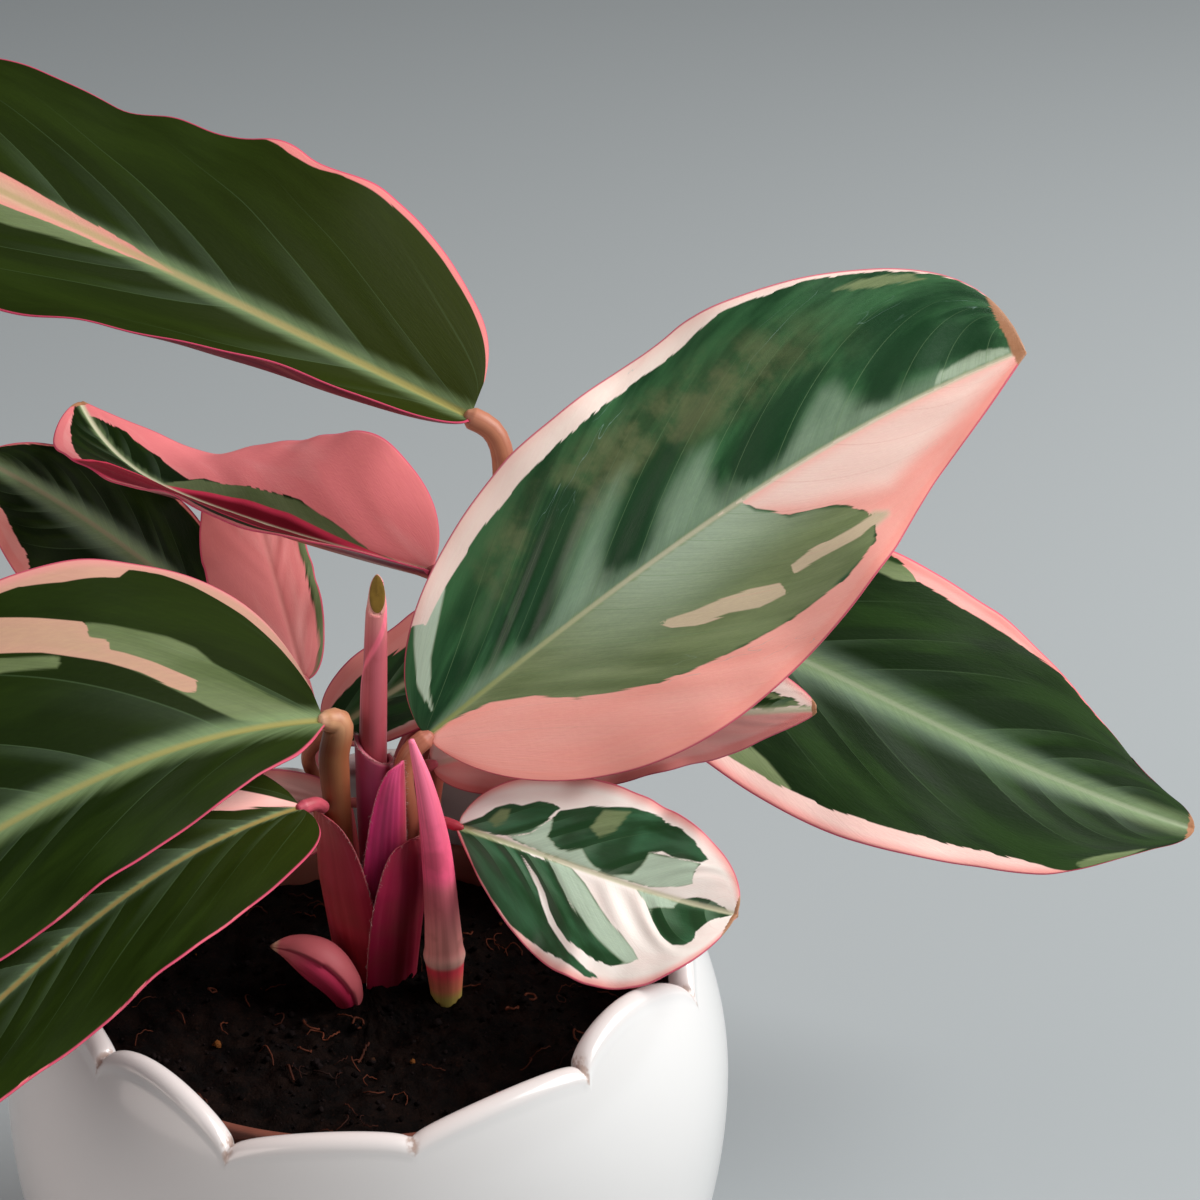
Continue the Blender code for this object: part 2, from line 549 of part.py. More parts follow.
def main():
    for old in list(bpy.data.objects):
        bpy.data.objects.remove(old, do_unlink=True)
    add_planter()
    add_cup()
    add_soil()
    by_name = {leaf.name: leaf for leaf in LEAVES}
    for leaf in LEAVES:
        add_leaf(leaf)
    for name, leaf_name, places, radii, colour in STALKS:
        add_stalk(name, by_name[leaf_name], places, radii, colour)
    for name, places, radii, colour in (
            ("new_leaf", SPIKE_PLACES, SPIKE_RADII, (0.35, 0.06, 0.07)),
            ("side_shoot", SHOOT_PLACES, SHOOT_RADII, (0.45, 0.05, 0.10)),
            ("bud", BUD_PLACES, BUD_RADII, (0.45, 0.04, 0.06))):
        add_tube(name, places, radii, material(name, colour, 0.4))
    for sheath in SHEATHS:
        add_sheath(*sheath)
    add_spike_sheath()


main()
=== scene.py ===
"""The looks of a stromanthe in a white scalloped planter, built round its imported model.

Each leaf, stalk, sheath and shoot gets a fine surface on the same form as its solid, with the veins, the
cream and pink variegation and the glossy skin that the plant has. Sizes are in millimetres times MM, in the
model's frame.
"""
import math
import random
from dataclasses import dataclass

import bpy
import numpy as np
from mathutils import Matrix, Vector, noise


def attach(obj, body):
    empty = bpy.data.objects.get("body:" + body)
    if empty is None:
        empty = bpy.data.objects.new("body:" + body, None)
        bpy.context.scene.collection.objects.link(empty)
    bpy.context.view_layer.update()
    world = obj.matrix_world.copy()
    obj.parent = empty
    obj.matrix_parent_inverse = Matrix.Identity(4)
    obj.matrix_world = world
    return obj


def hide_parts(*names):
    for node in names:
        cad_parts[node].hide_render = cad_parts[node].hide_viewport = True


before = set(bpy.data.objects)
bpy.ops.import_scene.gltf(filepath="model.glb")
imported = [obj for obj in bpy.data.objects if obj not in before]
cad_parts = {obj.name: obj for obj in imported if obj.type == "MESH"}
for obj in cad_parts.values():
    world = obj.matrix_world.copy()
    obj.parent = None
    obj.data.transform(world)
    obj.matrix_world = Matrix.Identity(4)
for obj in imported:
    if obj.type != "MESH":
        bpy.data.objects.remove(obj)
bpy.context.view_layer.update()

MM = 0.001


# Leaves: the same form as the solids, with fine values for the surface and its pattern.

MIDRIB_STEPS = 240
BLADE_END = 0.6 * MM
BLADE = 0.5 * MM
BLADE_EDGE = 0.22 * MM
VEIN_POWER = 1.3
FOLD_POWER = 1.15
FOLD_STRAIGHTENING = 4
BASE_CROWDING = 5.0
CREST_SKEW = 0.52
TRIM_SOFTNESS = 0.012
VEIN_STRIPS = 7.0
VEIN_LINE = 0.018
OUTSIDE = -4.0
SEAM_AWAY = 4.0
ROW_CROWDING = 0.6
MARGIN_CROWDING = 1.15
RIPPLES = 5
FINE_RIPPLES = 9.3
BUCKLE = 0.12
GROOVE_DEPTH = 0.3
GROOVE_WIDTH = 0.6
RIDGE_HEIGHT = 0.95
RIDGE_WIDTH = 0.9


@dataclass
class Leaf:
    """One blade: where it starts, how long it is, which way it points, and the form of its two halves.

    An angle is one number in degrees, or several from the stalk to the tip. A half's form is its widest half
    width and its powers at the stalk and the tip. A wave is its height, its count along the blade and where
    it starts on the left and the right.
    """

    name: str
    base: tuple
    length: float
    heading: float | tuple
    pitch: float | tuple
    roll: float | tuple
    left: tuple
    right: tuple
    fold_left: float | tuple = 8
    fold_right: float | tuple = 8
    curl_left: float | tuple = -10
    curl_right: float | tuple = -10
    wave: tuple = (1.0, 3.0, 0.0, 0.5)

    def __post_init__(self):
        self.base = np.array(self.base, float) * MM
        self.length = self.length * MM
        self.left, self.right, self.wave = (
            (sizes[0] * MM, *sizes[1:]) for sizes in (self.left, self.right, self.wave))


LEAVES = (
    Leaf("leaf_main", (10.4, 7.9, 120.6), 116, 13.5, (38, 32, 18), (64, 54),
         (29.6, 0.51, 0.42), (28, 0.62, 1.02), fold_left=(12, 8, 0), fold_right=(6, 4, 8),
         curl_left=(-14, -10, -6), curl_right=(-8, 4, 4), wave=(1.2, 3.0, 0.1, 0.3)),
    Leaf("leaf_under", (10.8, 11.2, 113.8), 64, (5, -4), (14, 4), (48, 42),
         (17, 0.6, 0.8), (10, 0.5, 0.8), fold_left=10, fold_right=-40),
    Leaf("leaf_small", (15.2, 4.8, 105.8), 50, (-20, -30), (-9, -7, 4), (50, 40),
         (14.5, 0.5, 0.55), (18, 0.95, 0.55), fold_left=(0, 2, 6), fold_right=(4, 14, 22)),
    Leaf("leaf_right_back", (34.9, 70.9, 121.5), 126, (-4, 2), (-17, -28, -20), (60, 48),
         (25, 0.6, 0.68), (27, 0.6, 0.72)),
    Leaf("leaf_top_left", (16.2, 54.6, 158.3), 150, (180, 174), (28, 26, 24), (-50, -42, -28, -20, -12),
         (28, 0.6, 0.6), (32, 0.33, 0.5), fold_left=(20, 4, 4, 4, 4), curl_left=(60, 84, 20, -10, -10),
         curl_right=(-16, -16, -10)),
    Leaf("leaf_left_fold", (9.2, 52.8, 130.1), 96, (158, 140, 116), (4, 2, 2, 22), (-4, 0),
         (20, 0.5, 0.7), (24, 0.55, 1.0), fold_left=(34, 32, 30, 4), fold_right=(38, 32, 8, 10),
         curl_left=-4),
    Leaf("leaf_left_dark", (-35.6, 84, 108.7), 54, (150, 155), (30, 16), (-48, -50),
         (18, 0.5, 0.8), (13, 0.45, 0.7)),
    Leaf("leaf_pink_back", (-14.5, 56, 107.5), 60, (109, 104), (30, 14), 0, (12, 0.5, 0.7), (7, 0.5, 0.7)),
    Leaf("leaf_left_front", (-5.8, 3.6, 125.7), 120, 217, (14, -14, -14), (-30, -30),
         (18, 0.85, 0.6), (38, 0.35, 0.7)),
    Leaf("leaf_low_front", (-9.5, -2.2, 113), 105, (230, 232), (10, -14, -18), -26,
         (15, 0.4, 0.6), (21, 0.45, 0.7), fold_left=(18, 18, 4)),
    Leaf("leaf_behind", (-6.9, 22, 114), 62, (16, 22), (32, 10), (40, 40), (9.5, 0.4, 0.7), (9, 0.5, 0.7)),
    Leaf("leaf_low_back", (-5, 18.5, 102.8), 42, (190, 196), (6, -20), (-60, -50),
         (10, 0.4, 0.7), (6, 0.5, 0.7)),
)


DARK_GREEN = (0.022, 0.078, 0.016)
DEEP_GREEN = (0.008, 0.034, 0.006)
OLIVE = (0.022, 0.030, 0.002)
# the colour of the olive reflection painted on leaf_main's outer part
REFLECTED_OLIVE = (0.13, 0.15, 0.07)
# the pale green of the painted sheen on the lit flanks of the crests and along the midrib
SHEEN_GREEN = (0.24, 0.34, 0.24)
CREAM = (0.90, 0.77, 0.70)
PINK = (0.84, 0.27, 0.25)
CRIMSON = (0.56, 0.06, 0.13)
DRY_BROWN = (0.30, 0.13, 0.06)
RIB_PALE = (0.62, 0.60, 0.42)
BESIDE_RIB = (0.20, 0.28, 0.13)
GREEN_VEIN = (0.16, 0.26, 0.13)
PINK_VEIN = (0.72, 0.36, 0.32)
ROLLED_EDGE = (0.66, 0.045, 0.10)
ROLLED_MIDDLE = (0.17, 0.006, 0.016)
SCUFF = (0.30, 0.46, 0.42)
# SHADED and SHADED_MIDS are the leaf greens darkened as painted shade, for the leaves that lie in shade
SHADED = ((0.004, 0.011, 0.0008), (0.011, 0.024, 0.002))
LIVELY = ((0.012, 0.048, 0.014), (0.034, 0.115, 0.052))
MAIN_GREENS = ((0.008, 0.044, 0.014), (0.034, 0.122, 0.044))
BEIGE = (0.58, 0.47, 0.33)
MIDS = ((0.205, 0.255, 0.125), (0.125, 0.170, 0.070), (0.46, 0.58, 0.46))
SHADED_MIDS = ((0.135, 0.170, 0.080), (0.085, 0.115, 0.045), (0.24, 0.29, 0.17))


@dataclass
class Pattern:
    """How a blade is painted and puckered. Of two values, the first is for the left half."""

    # how far the side veins lean towards the tip, and each half's tone before anything is painted
    sweep: tuple = (0.5, 0.5)
    ground: tuple = ("dark", "dark")
    # pairs of place and share across, past which a half turns pale, and what the place goes by
    reach: tuple = ((), ())
    edge_by: str = "vein"
    # half, tone, first and last vein, inner and outer share, and blush, painted in turn
    streaks: tuple = ()
    # tone, blush and outline in shares of the length and the half width, painted after the streaks: dark,
    # mid and pale are greens, deep and silver lie over them (on leaf_main deep is painted shade on the shaded
    # flanks of the crests, and silver is painted sheen on the lit flanks), light is cream or pink, beige a
    # muted light, and crimson the rolled-up underside
    shapes: tuple = ()
    # the colours, darker greens, cream and pink being painted shade on leaves that lie in shade, how pink the
    # pale parts are, and how much pinker they get at the very edge
    greens: tuple = (DEEP_GREEN, DARK_GREEN)
    cream: tuple = CREAM
    pink: tuple = PINK
    blush: tuple = (0.3, 0.3)
    margin_blush: float = 0.5
    # the height of the crests along the side veins, the number of veins, and how far the crests lean
    pucker: tuple = (0.3, 0.3)
    folds: float = 10
    fold_sweep: float = 0.45
    # where the side veins and the large folds leave the midrib, if they aren't evenly spread, and how much
    # the veins show
    vein_places: tuple = ()
    fold_places: tuple = ()
    vein_strength: float = 0.12
    # the midrib's colours at the stalk and further out, its half width, its strength and its soft edge
    rib: tuple = (0.36, 0.42, 0.18)
    rib_far: tuple = RIB_PALE
    rib_width: float = 0.5
    rib_strength: float = 0.85
    feather: float = 1.6
    # how uneven the edges of the tones are in millimetres, and how much of the tip is dry
    jag: float = 0.6
    tip_brown: float = 0.012
    # olive near the stalk, a pale sheen painted on the lit flanks of the crests, a painted olive reflection
    # on the outer part, a pale sheen painted along the midrib with its reach, and scuffs
    olive: float = 0.0
    silver: float = 0.35
    olive_reflection: float = 0.0
    rib_sheen: float = 0.15
    rib_sheen_width: float = 0.34
    scuffs: float = 0.0
    # shine, roughness, the height of the margin's waves, and the mesh's rows and columns
    gloss: float = 0.25
    rough: tuple = (0.34, 0.46)
    ripple: float = 0.25
    grid: tuple = (110, 44)
    # pairs of length share and how much of the half width the margin reaches there
    trim: tuple = ((), ())


# leaf_top_left, leaf_left_fold, leaf_left_dark, leaf_pink_back, leaf_left_front and leaf_low_front get the
# SHADED greens, and some of them a darker cream or pink: painted shade
PATTERNS = {
    "leaf_main": Pattern(
        ground=("dark", "light"), edge_by="length", blush=(0.06, 0.9), margin_blush=0.25,
        pucker=(1.1, 0.15), feather=0.9, rib=(0.30, 0.34, 0.10), rib_far=(0.62, 0.58, 0.43),
        grid=(260, 110), tip_brown=0.019, silver=0.8, rib_width=0.42, olive_reflection=0.75, rib_sheen=0.7, rib_sheen_width=0.5,
        gloss=0.3, jag=0.34, vein_strength=0.35, rib_strength=0.7, scuffs=0.35, greens=MAIN_GREENS,
        pink=(0.93, 0.36, 0.31), fold_places=(-0.14, 0.03, 0.11, 0.2, 0.37, 0.6, 0.8, 1.01),
        reach=(((0, 1.0), (0.08, 1.0), (0.10, 0.84), (0.2, 0.83), (0.3, 0.84), (0.4, 0.86), (0.5, 0.87),
            (0.6, 0.89), (0.65, 0.94), (0.8, 0.965), (1, 0.975)),
            ()),
        shapes=(
            ("light", 0.3, ((0.5, 0), (1, 0), (1, -0.7), (0.86, -0.62), (0.74, -0.62), (0.62, -0.3))),
            ("mid", 0, ((0.02, 0.0), (0.04, -0.03), (0.1, -0.12), (0.155, -0.26), (0.2, -0.42),
                (0.25, -0.5), (0.3, -0.58), (0.4, -0.67), (0.5, -0.755), (0.55, -0.79), (0.6, -0.83),
                (0.65, -0.84), (0.68, -0.83), (0.685, -0.79), (0.7, -0.67), (0.686, -0.57), (0.677, -0.5),
                (0.66, -0.42), (0.632, -0.33), (0.595, -0.26), (0.58, -0.18), (0.56, -0.1), (0.55, 0))),
            ("beige", 0.0, ((0.355, -0.29), (0.41, -0.36), (0.445, -0.4), (0.49, -0.47), (0.53, -0.56),
                (0.535, -0.645), (0.487, -0.59), (0.447, -0.5), (0.398, -0.44), (0.37, -0.37))),
            ("beige", 0.1, ((0.555, -0.51), (0.59, -0.53), (0.62, -0.565), (0.66, -0.62), (0.7, -0.67),
                (0.715, -0.75), (0.665, -0.715), (0.627, -0.66), (0.59, -0.61), (0.557, -0.57))),
            ("pale", 0, ((0.15, 0.83), (0.12, 0.76), (0.075, 0.64), (0.04, 0.4), (0.03, 0.32), (0.032, 0.5),
                (0.045, 0.75), (0.07, 0.9), (0.09, 0.97))),
            ("mid", 0, ((0.8, 0.86), (0.84, 0.92), (0.9, 0.95), (0.92, 0.9), (0.88, 0.85), (0.84, 0.84))),
            ("mid", 0, ((0.86, 0.02), (0.88, 0.1), (0.94, 0.17), (0.98, 0.12), (0.98, 0.02))),
            # silver shapes: painted sheen on the lit flanks of the crests beside the midrib
            ("silver", 0, ((0.21, 0), (0.2625, 0.19), (0.3, 0.33), (0.325, 0.4), (0.362, 0.49),
                (0.42, 0.52), (0.455, 0.5), (0.411, 0.363), (0.362, 0.22), (0.32, 0))),
            ("silver", 0, ((0.39, 0), (0.399, 0.05), (0.427, 0.15), (0.456, 0.244), (0.485, 0.3),
                (0.53, 0.37), (0.56, 0.34), (0.54, 0.24), (0.53, 0.12), (0.52, 0))),
            ("silver", 0, ((0.61, 0), (0.64, 0.1), (0.687, 0.232), (0.72, 0.32), (0.745, 0.3), (0.75, 0.2),
                (0.78, 0.12), (0.81, 0))),
            ("silver", 0, ((0.05, 0), (0.1, 0.12), (0.15, 0.1), (0.16, 0))),
            # deep shapes: painted shade on the shaded flanks of the crests, beside the painted sheen
            ("deep", 0, ((0.2, 0.06), (0.235, 0.11), (0.2625, 0.19), (0.3, 0.33), (0.325, 0.4),
                (0.362, 0.49), (0.385, 0.54), (0.37, 0.66), (0.34, 0.69), (0.32, 0.64), (0.283, 0.567),
                (0.255, 0.5), (0.228, 0.41), (0.2, 0.3), (0.18, 0.17), (0.185, 0.09))),
            ("deep", 0, ((0.355, 0.08), (0.385, 0.05), (0.41, 0.09), (0.427, 0.153), (0.456, 0.244),
                (0.485, 0.303), (0.514, 0.36), (0.53, 0.42), (0.505, 0.5), (0.478, 0.476), (0.44, 0.42),
                (0.411, 0.363), (0.385, 0.29), (0.362, 0.22), (0.345, 0.14))),
            ("deep", 0, ((0.555, 0.09), (0.585, 0.04), (0.62, 0.07), (0.64, 0.1), (0.687, 0.232),
                (0.72, 0.32), (0.751, 0.41), (0.735, 0.47), (0.69, 0.42), (0.645, 0.37), (0.6, 0.3),
                (0.557, 0.22))),
            ("deep", 0, ((0.755, 0.1), (0.775, 0.2), (0.79, 0.32), (0.82, 0.42), (0.87, 0.5), (0.95, 0.5),
                (0.985, 0.3), (0.96, 0.16), (0.9, 0.14), (0.83, 0.16), (0.8, 0.06))),
            ("deep", 0, ((0.16, 0.18), (0.18, 0.17), (0.2, 0.26), (0.195, 0.34), (0.165, 0.3))),
            ("deep", 0, ((0.07, 0.25), (0.1, 0.22), (0.115, 0.33), (0.1, 0.42), (0.075, 0.38)))),
        vein_places=(-0.14, -0.05, 0.03, 0.09, 0.135, 0.2, 0.29, 0.37, 0.455, 0.52, 0.6, 0.7, 0.8, 0.87,
            0.94, 1.01),
        trim=(((0, 1), (0.33, 1), (0.4, 0.97), (0.45, 0.96), (0.5, 0.95), (0.55, 0.945), (0.58, 0.955),
            (0.61, 0.98), (0.65, 0.985), (0.7, 0.975), (0.8, 0.965), (0.85, 0.96), (0.9, 0.97), (1, 1)),
            ((0, 1), (0.7, 1), (0.76, 0.96), (0.8, 0.935), (0.85, 0.945), (0.9, 0.965), (1, 1)))),
    "leaf_under": Pattern(
        ground=("light", "light"), blush=(0.15, 0.8), margin_blush=0.6, pucker=(0.1, 0.1), folds=9,
        rib=(0.7, 0.5, 0.4),
        streaks=(("L", "mid", 0.2, 0.62, 0.1, 0.7, 0), ("L", "dark", 0.24, 0.58, 0.16, 0.6, 0)),
        shapes=(
            ("mid", 0, ((0.72, 0.05), (0.8, 0.3), (0.88, 0.42), (0.95, 0.3), (0.985, 0.05))),
            ("dark", 0, ((0.78, 0.08), (0.84, 0.24), (0.9, 0.28), (0.955, 0.1))))),
    "leaf_small": Pattern(
        ground=("light", "light"), blush=(0.06, 0.04), margin_blush=0.8, pucker=(0.3, 0.35), folds=8,
        feather=0.7, rib=(0.42, 0.50, 0.24), grid=(180, 96), jag=0.22, silver=0.3, gloss=0.35,
        greens=LIVELY, cream=(0.95, 0.88, 0.83),
        shapes=(
            ("dark", 0, ((0, 0), (0.07, 0.33), (0.1, 0.5), (0.14, 0.56), (0.18, 0.54), (0.225, 0.63),
                (0.27, 0.63), (0.3, 0.58), (0.28, 0.46), (0.27, 0.34), (0.24, 0.2), (0.175, 0.08),
                (0.09, 0.03))),
            ("pale", 0, ((0.175, 0.08), (0.24, 0.2), (0.275, 0.38), (0.31, 0.5), (0.42, 0.4), (0.6, 0.4),
                (0.64, 0.42), (0.74, 0.5), (0.82, 0.6), (0.81, 0.42), (0.82, 0.28), (0.76, 0.13),
                (0.68, 0.05), (0.45, 0.02), (0.3, 0.02))),
            ("dark", 0, ((0.29, 0.44), (0.3, 0.56), (0.335, 0.6), (0.38, 0.66), (0.44, 0.73), (0.52, 0.83),
                (0.62, 0.87), (0.65, 0.83), (0.72, 0.85), (0.775, 0.82), (0.84, 0.72), (0.82, 0.62),
                (0.74, 0.5), (0.68, 0.5), (0.64, 0.42), (0.63, 0.25), (0.61, 0.12), (0.56, 0.06),
                (0.52, 0.04), (0.48, 0.07), (0.45, 0.13), (0.42, 0.21), (0.38, 0.13), (0.34, 0.13),
                (0.3, 0.22))),
            ("mid", 0, ((0.42, 0.45), (0.44, 0.68), (0.52, 0.76), (0.5, 0.5), (0.46, 0.38))),
            ("mid", 0, ((0.09, 0.28), (0.115, 0.5), (0.15, 0.5), (0.15, 0.3), (0.12, 0.2))),
            ("deep", 0, ((0.33, 0.25), (0.345, 0.4), (0.385, 0.42), (0.4, 0.3), (0.38, 0.17),
                (0.345, 0.17))),
            ("deep", 0, ((0.46, 0.2), (0.47, 0.36), (0.51, 0.44), (0.53, 0.7), (0.58, 0.72), (0.57, 0.44),
                (0.585, 0.25), (0.56, 0.12), (0.52, 0.09), (0.485, 0.12))),
            ("light", 0, ((0.68, 0.02), (0.72, 0.09), (0.8, 0.2), (0.9, 0.36), (0.97, 0.3), (0.9, 0.16),
                (0.83, 0.08), (0.78, 0))),
            ("dark", 0, ((0, 0), (0.1, -0.95), (0.2, -0.97), (0.3, -0.96), (0.44, -0.9), (0.5, -0.88),
                (0.62, -0.94), (0.67, -0.92), (0.59, -0.85), (0.54, -0.79), (0.48, -0.72), (0.42, -0.64),
                (0.375, -0.52), (0.335, -0.38), (0.27, -0.22), (0.22, -0.06), (0.1, -0.02))),
            ("pale", 0, ((0.31, -0.02), (0.41, -0.03), (0.475, -0.13), (0.53, -0.24), (0.6, -0.37),
                (0.67, -0.48), (0.73, -0.6), (0.765, -0.71), (0.72, -0.76), (0.6, -0.6), (0.45, -0.35))),
            ("dark", 0, ((0.2, -0.04), (0.27, -0.05), (0.335, -0.06), (0.36, -0.13), (0.41, -0.28),
                (0.46, -0.37), (0.55, -0.5), (0.61, -0.58), (0.67, -0.66), (0.73, -0.75), (0.69, -0.79),
                (0.63, -0.77), (0.56, -0.73), (0.51, -0.7), (0.45, -0.63), (0.405, -0.54), (0.37, -0.4),
                (0.32, -0.27), (0.26, -0.14))),
            ("pale", 0, ((0.64, -0.01), (0.71, -0.16), (0.745, -0.27), (0.82, -0.3), (0.83, -0.05),
                (0.76, 0))),
            ("dark", 0, ((0.72, -0.16), (0.745, -0.28), (0.795, -0.43), (0.85, -0.55), (0.89, -0.6),
                (0.915, -0.58), (0.9, -0.4), (0.93, -0.22), (0.985, -0.08), (0.95, 0.12), (0.895, 0.15),
                (0.84, 0.1), (0.8, 0.02), (0.79, -0.1))))),
    "leaf_right_back": Pattern(
        greens=((0.006, 0.018, 0.003), (0.016, 0.042, 0.007)), edge_by="length", blush=(0.8, 0.4),
        pucker=(0.14, 0.14), feather=3.4, rib=(0.30, 0.34, 0.22), jag=0.4, silver=0.12,
        rib_far=(0.34, 0.38, 0.26), rib_strength=0.5, folds=7, rib_sheen=0.65, rib_sheen_width=0.62, gloss=0.08,
        rough=(0.45, 0.6), ripple=0.3,
        reach=(((0, 0.95), (0.4, 0.97), (0.44, 0.93), (0.46, 0.87), (0.6, 0.88), (0.68, 0.92), (0.72, 0.98),
            (1, 0.97)),
            ((0, 0.84), (0.35, 0.86), (0.4, 0.86), (0.5, 0.84), (0.6, 0.83), (0.7, 0.83), (0.78, 0.86),
            (0.83, 0.99), (1, 0.97))),
        shapes=(
            ("mid", 0, ((0.2, -0.62), (0.3, -0.72), (0.35, -0.76), (0.4, -0.85), (0.4, -0.95),
                (0.2, -0.95))),
            ("mid", 0, ((0.3, 0.86), (0.37, 0.84), (0.42, 0.82), (0.455, 0.86), (0.45, 0.93), (0.3, 0.95))),
            ("mid", 0, ((0.83, -0.88), (0.87, -0.8), (0.93, -0.84), (0.9, -1), (0.84, -1)))),
        trim=(((0, 1), (0.6, 1), (0.65, 0.97), (0.7, 0.92), (0.75, 0.86), (0.8, 0.78), (0.85, 0.72),
            (0.9, 0.6), (0.95, 0.55), (1, 0.8)),
            ((0, 1), (0.5, 0.99), (0.6, 0.96), (0.7, 0.92), (0.8, 0.94), (0.85, 0.88), (0.9, 0.78),
            (0.95, 0.7), (1, 0.8)))),
    "leaf_top_left": Pattern(
        greens=SHADED, edge_by="length", blush=(0.9, 0.95), pucker=(0.18, 0.25), feather=3.2,
        rib=(0.32, 0.26, 0.07), olive=1.0, jag=0.35, silver=0.1, rib_width=0.75, grid=(180, 60), gloss=0.05,
        rough=(0.5, 0.65), ripple=0.35, cream=(0.50, 0.34, 0.23), pink=(0.66, 0.20, 0.20), rib_sheen=0.25,
        rib_far=(0.36, 0.28, 0.14), rib_strength=0.75, folds=8,
        reach=(((0, 1.02), (1, 1.02)),
            ((0, 0.8), (0.02, 0.86), (0.05, 0.91), (0.1, 0.935), (0.2, 0.955), (0.25, 0.975), (0.28, 0.955),
            (0.31, 0.94), (0.335, 0.98), (0.345, 1.0), (1, 1.0))),
        shapes=(
            ("mid", 0, ((0.4, 0.01), (0.45, 0.09), (0.5, 0.15), (0.55, 0.24), (0.6, 0.3), (0.8, 0.32),
                (1, 0.2), (1, 0), (0.55, 0.0))),
            ("light", 0.1, ((0.37, 0.0), (0.42, 0.035), (0.5, 0.07), (0.58, 0.11), (0.7, 0.13), (0.85, 0.1),
                (1, 0.1), (1, -0.1), (0.85, -0.1), (0.7, -0.13), (0.58, -0.11), (0.5, -0.075),
                (0.42, -0.035)))),
        trim=((),
            ((0, 0.96), (0.05, 0.95), (0.1, 1.02), (0.15, 1.07), (0.2, 1.08), (0.25, 1.01), (0.28, 1.0),
            (0.31, 1.06), (0.335, 1.06), (0.36, 1.0), (0.4, 0.96), (0.45, 0.97), (0.5, 0.89), (0.56, 0.93),
            (0.62, 0.98), (1, 1)))),
    "leaf_left_fold": Pattern(
        ground=("dark", "light"), edge_by="length", blush=(0.9, 1.0), margin_blush=0.9, pucker=(0.15, 0.15),
        folds=8, rib=(0.62, 0.45, 0.33), jag=0.4, greens=SHADED, silver=0.1, gloss=0.08, rough=(0.45, 0.6),
        pink=(0.74, 0.20, 0.215),
        reach=(((0, 0.9), (0.7, 0.85), (1, 0.5)), ()),
        shapes=(
            ("dark", 0, ((0.58, 0), (0.62, -0.2), (0.75, -0.4), (0.87, -0.55), (0.93, -0.4), (0.96, 0))),
            ("mid", 0, ((0.1, 0), (0.2, -0.16), (0.33, -0.28), (0.45, -0.3), (0.6, -0.26), (0.66, 0))),
            ("crimson", 0, ((0.03, 1.2), (0.05, 0), (0.2, -0.08), (0.33, -0.15), (0.45, -0.16),
                (0.55, -0.12), (0.66, 0), (0.75, 0.4), (0.7, 1.2))))),
    "leaf_left_dark": Pattern(
        greens=SHADED, blush=(0.9, 0.6), margin_blush=0.9, folds=8, feather=3.0, rib=(0.30, 0.25, 0.16),
        jag=0.25, gloss=0.08, rough=(0.45, 0.6), silver=0.15, pucker=(0.1, 0.1), rib_sheen=0.8, rib_sheen_width=0.8,
        rib_far=(0.32, 0.26, 0.17), rib_strength=0.6,
        reach=(((-1, 1), (0, 1.0), (0.25, 0.92), (0.45, 0.74), (0.8, 0.62), (1, 0.5)),
            ((-1, 0.97), (1, 0.93)))),
    "leaf_pink_back": Pattern(
        ground=("light", "light"), blush=(1.0, 0.95), margin_blush=0.9, pucker=(0.08, 0.08), folds=8,
        rib=(0.70, 0.28, 0.26), silver=0, gloss=0.08, rough=(0.45, 0.6), pink=(0.60, 0.185, 0.185),
        rib_far=(0.60, 0.24, 0.22), rib_strength=0.5, jag=0.25, greens=SHADED,
        streaks=(("R", "mid", -1.2, 0.6, 0.78, 1.2, 0),)),
    "leaf_left_front": Pattern(
        greens=SHADED, edge_by="length", blush=(0.85, 0.4), margin_blush=0.7, pucker=(0.2, 0.25),
        feather=3.6, cream=(0.40, 0.265, 0.175), rib=(0.30, 0.25, 0.07), grid=(180, 84), olive=0.35,
        jag=0.3, silver=0.1, gloss=0.05, rough=(0.5, 0.65), ripple=0.35, pink=(0.60, 0.25, 0.23),
        rib_width=0.6, rib_far=(0.26, 0.23, 0.08), rib_strength=0.75, folds=7, rib_sheen=0.25,
        reach=(((0, 1.0), (1, 0.995)),
            ((0, 0.6), (0.02, 0.72), (0.05, 0.83), (0.1, 0.925), (0.13, 0.955), (0.165, 0.955),
            (0.185, 0.89), (0.25, 0.89), (0.3, 0.93), (0.5, 0.94), (1, 0.95))),
        shapes=(
            ("mid", 0, ((0.0, -0.02), (0.03, -0.1), (0.068, -0.2), (0.098, -0.29), (0.124, -0.39),
                (0.138, -0.48), (0.165, -0.545), (0.192, -0.585), (0.225, -0.64), (0.252, -0.68),
                (0.27, -0.6), (0.245, -0.45), (0.2, -0.3), (0.178, -0.22), (0.159, -0.15), (0.13, -0.06),
                (0.09, -0.02))),
            ("mid", 0, ((0.3, -0.56), (0.305, -0.53), (0.312, -0.51), (0.375, -0.6), (0.5, -0.58),
                (0.6, -0.5), (0.6, -0.7), (0.4, -0.72))),
            ("light", 0.15, ((0.8, -0.86), (0.6, -0.88), (0.45, -0.88), (0.345, -0.85), (0.297, -0.76),
                (0.252, -0.68), (0.257, -0.605), (0.237, -0.57), (0.244, -0.52), (0.229, -0.49),
                (0.2, -0.42), (0.174, -0.345), (0.157, -0.295), (0.163, -0.235), (0.18, -0.245),
                (0.197, -0.29), (0.222, -0.38), (0.256, -0.465), (0.29, -0.535), (0.319, -0.6),
                (0.365, -0.68), (0.5, -0.72), (0.65, -0.68), (0.8, -0.7)))),
        trim=(((0, 1), (0.03, 1.25), (0.07, 1.25), (0.1, 1.12), (0.14, 1), (1, 1)), ())),
    "leaf_low_front": Pattern(
        greens=SHADED, blush=(1.0, 0.7), margin_blush=1.0, pucker=(0.2, 0.2), folds=9, feather=0.9,
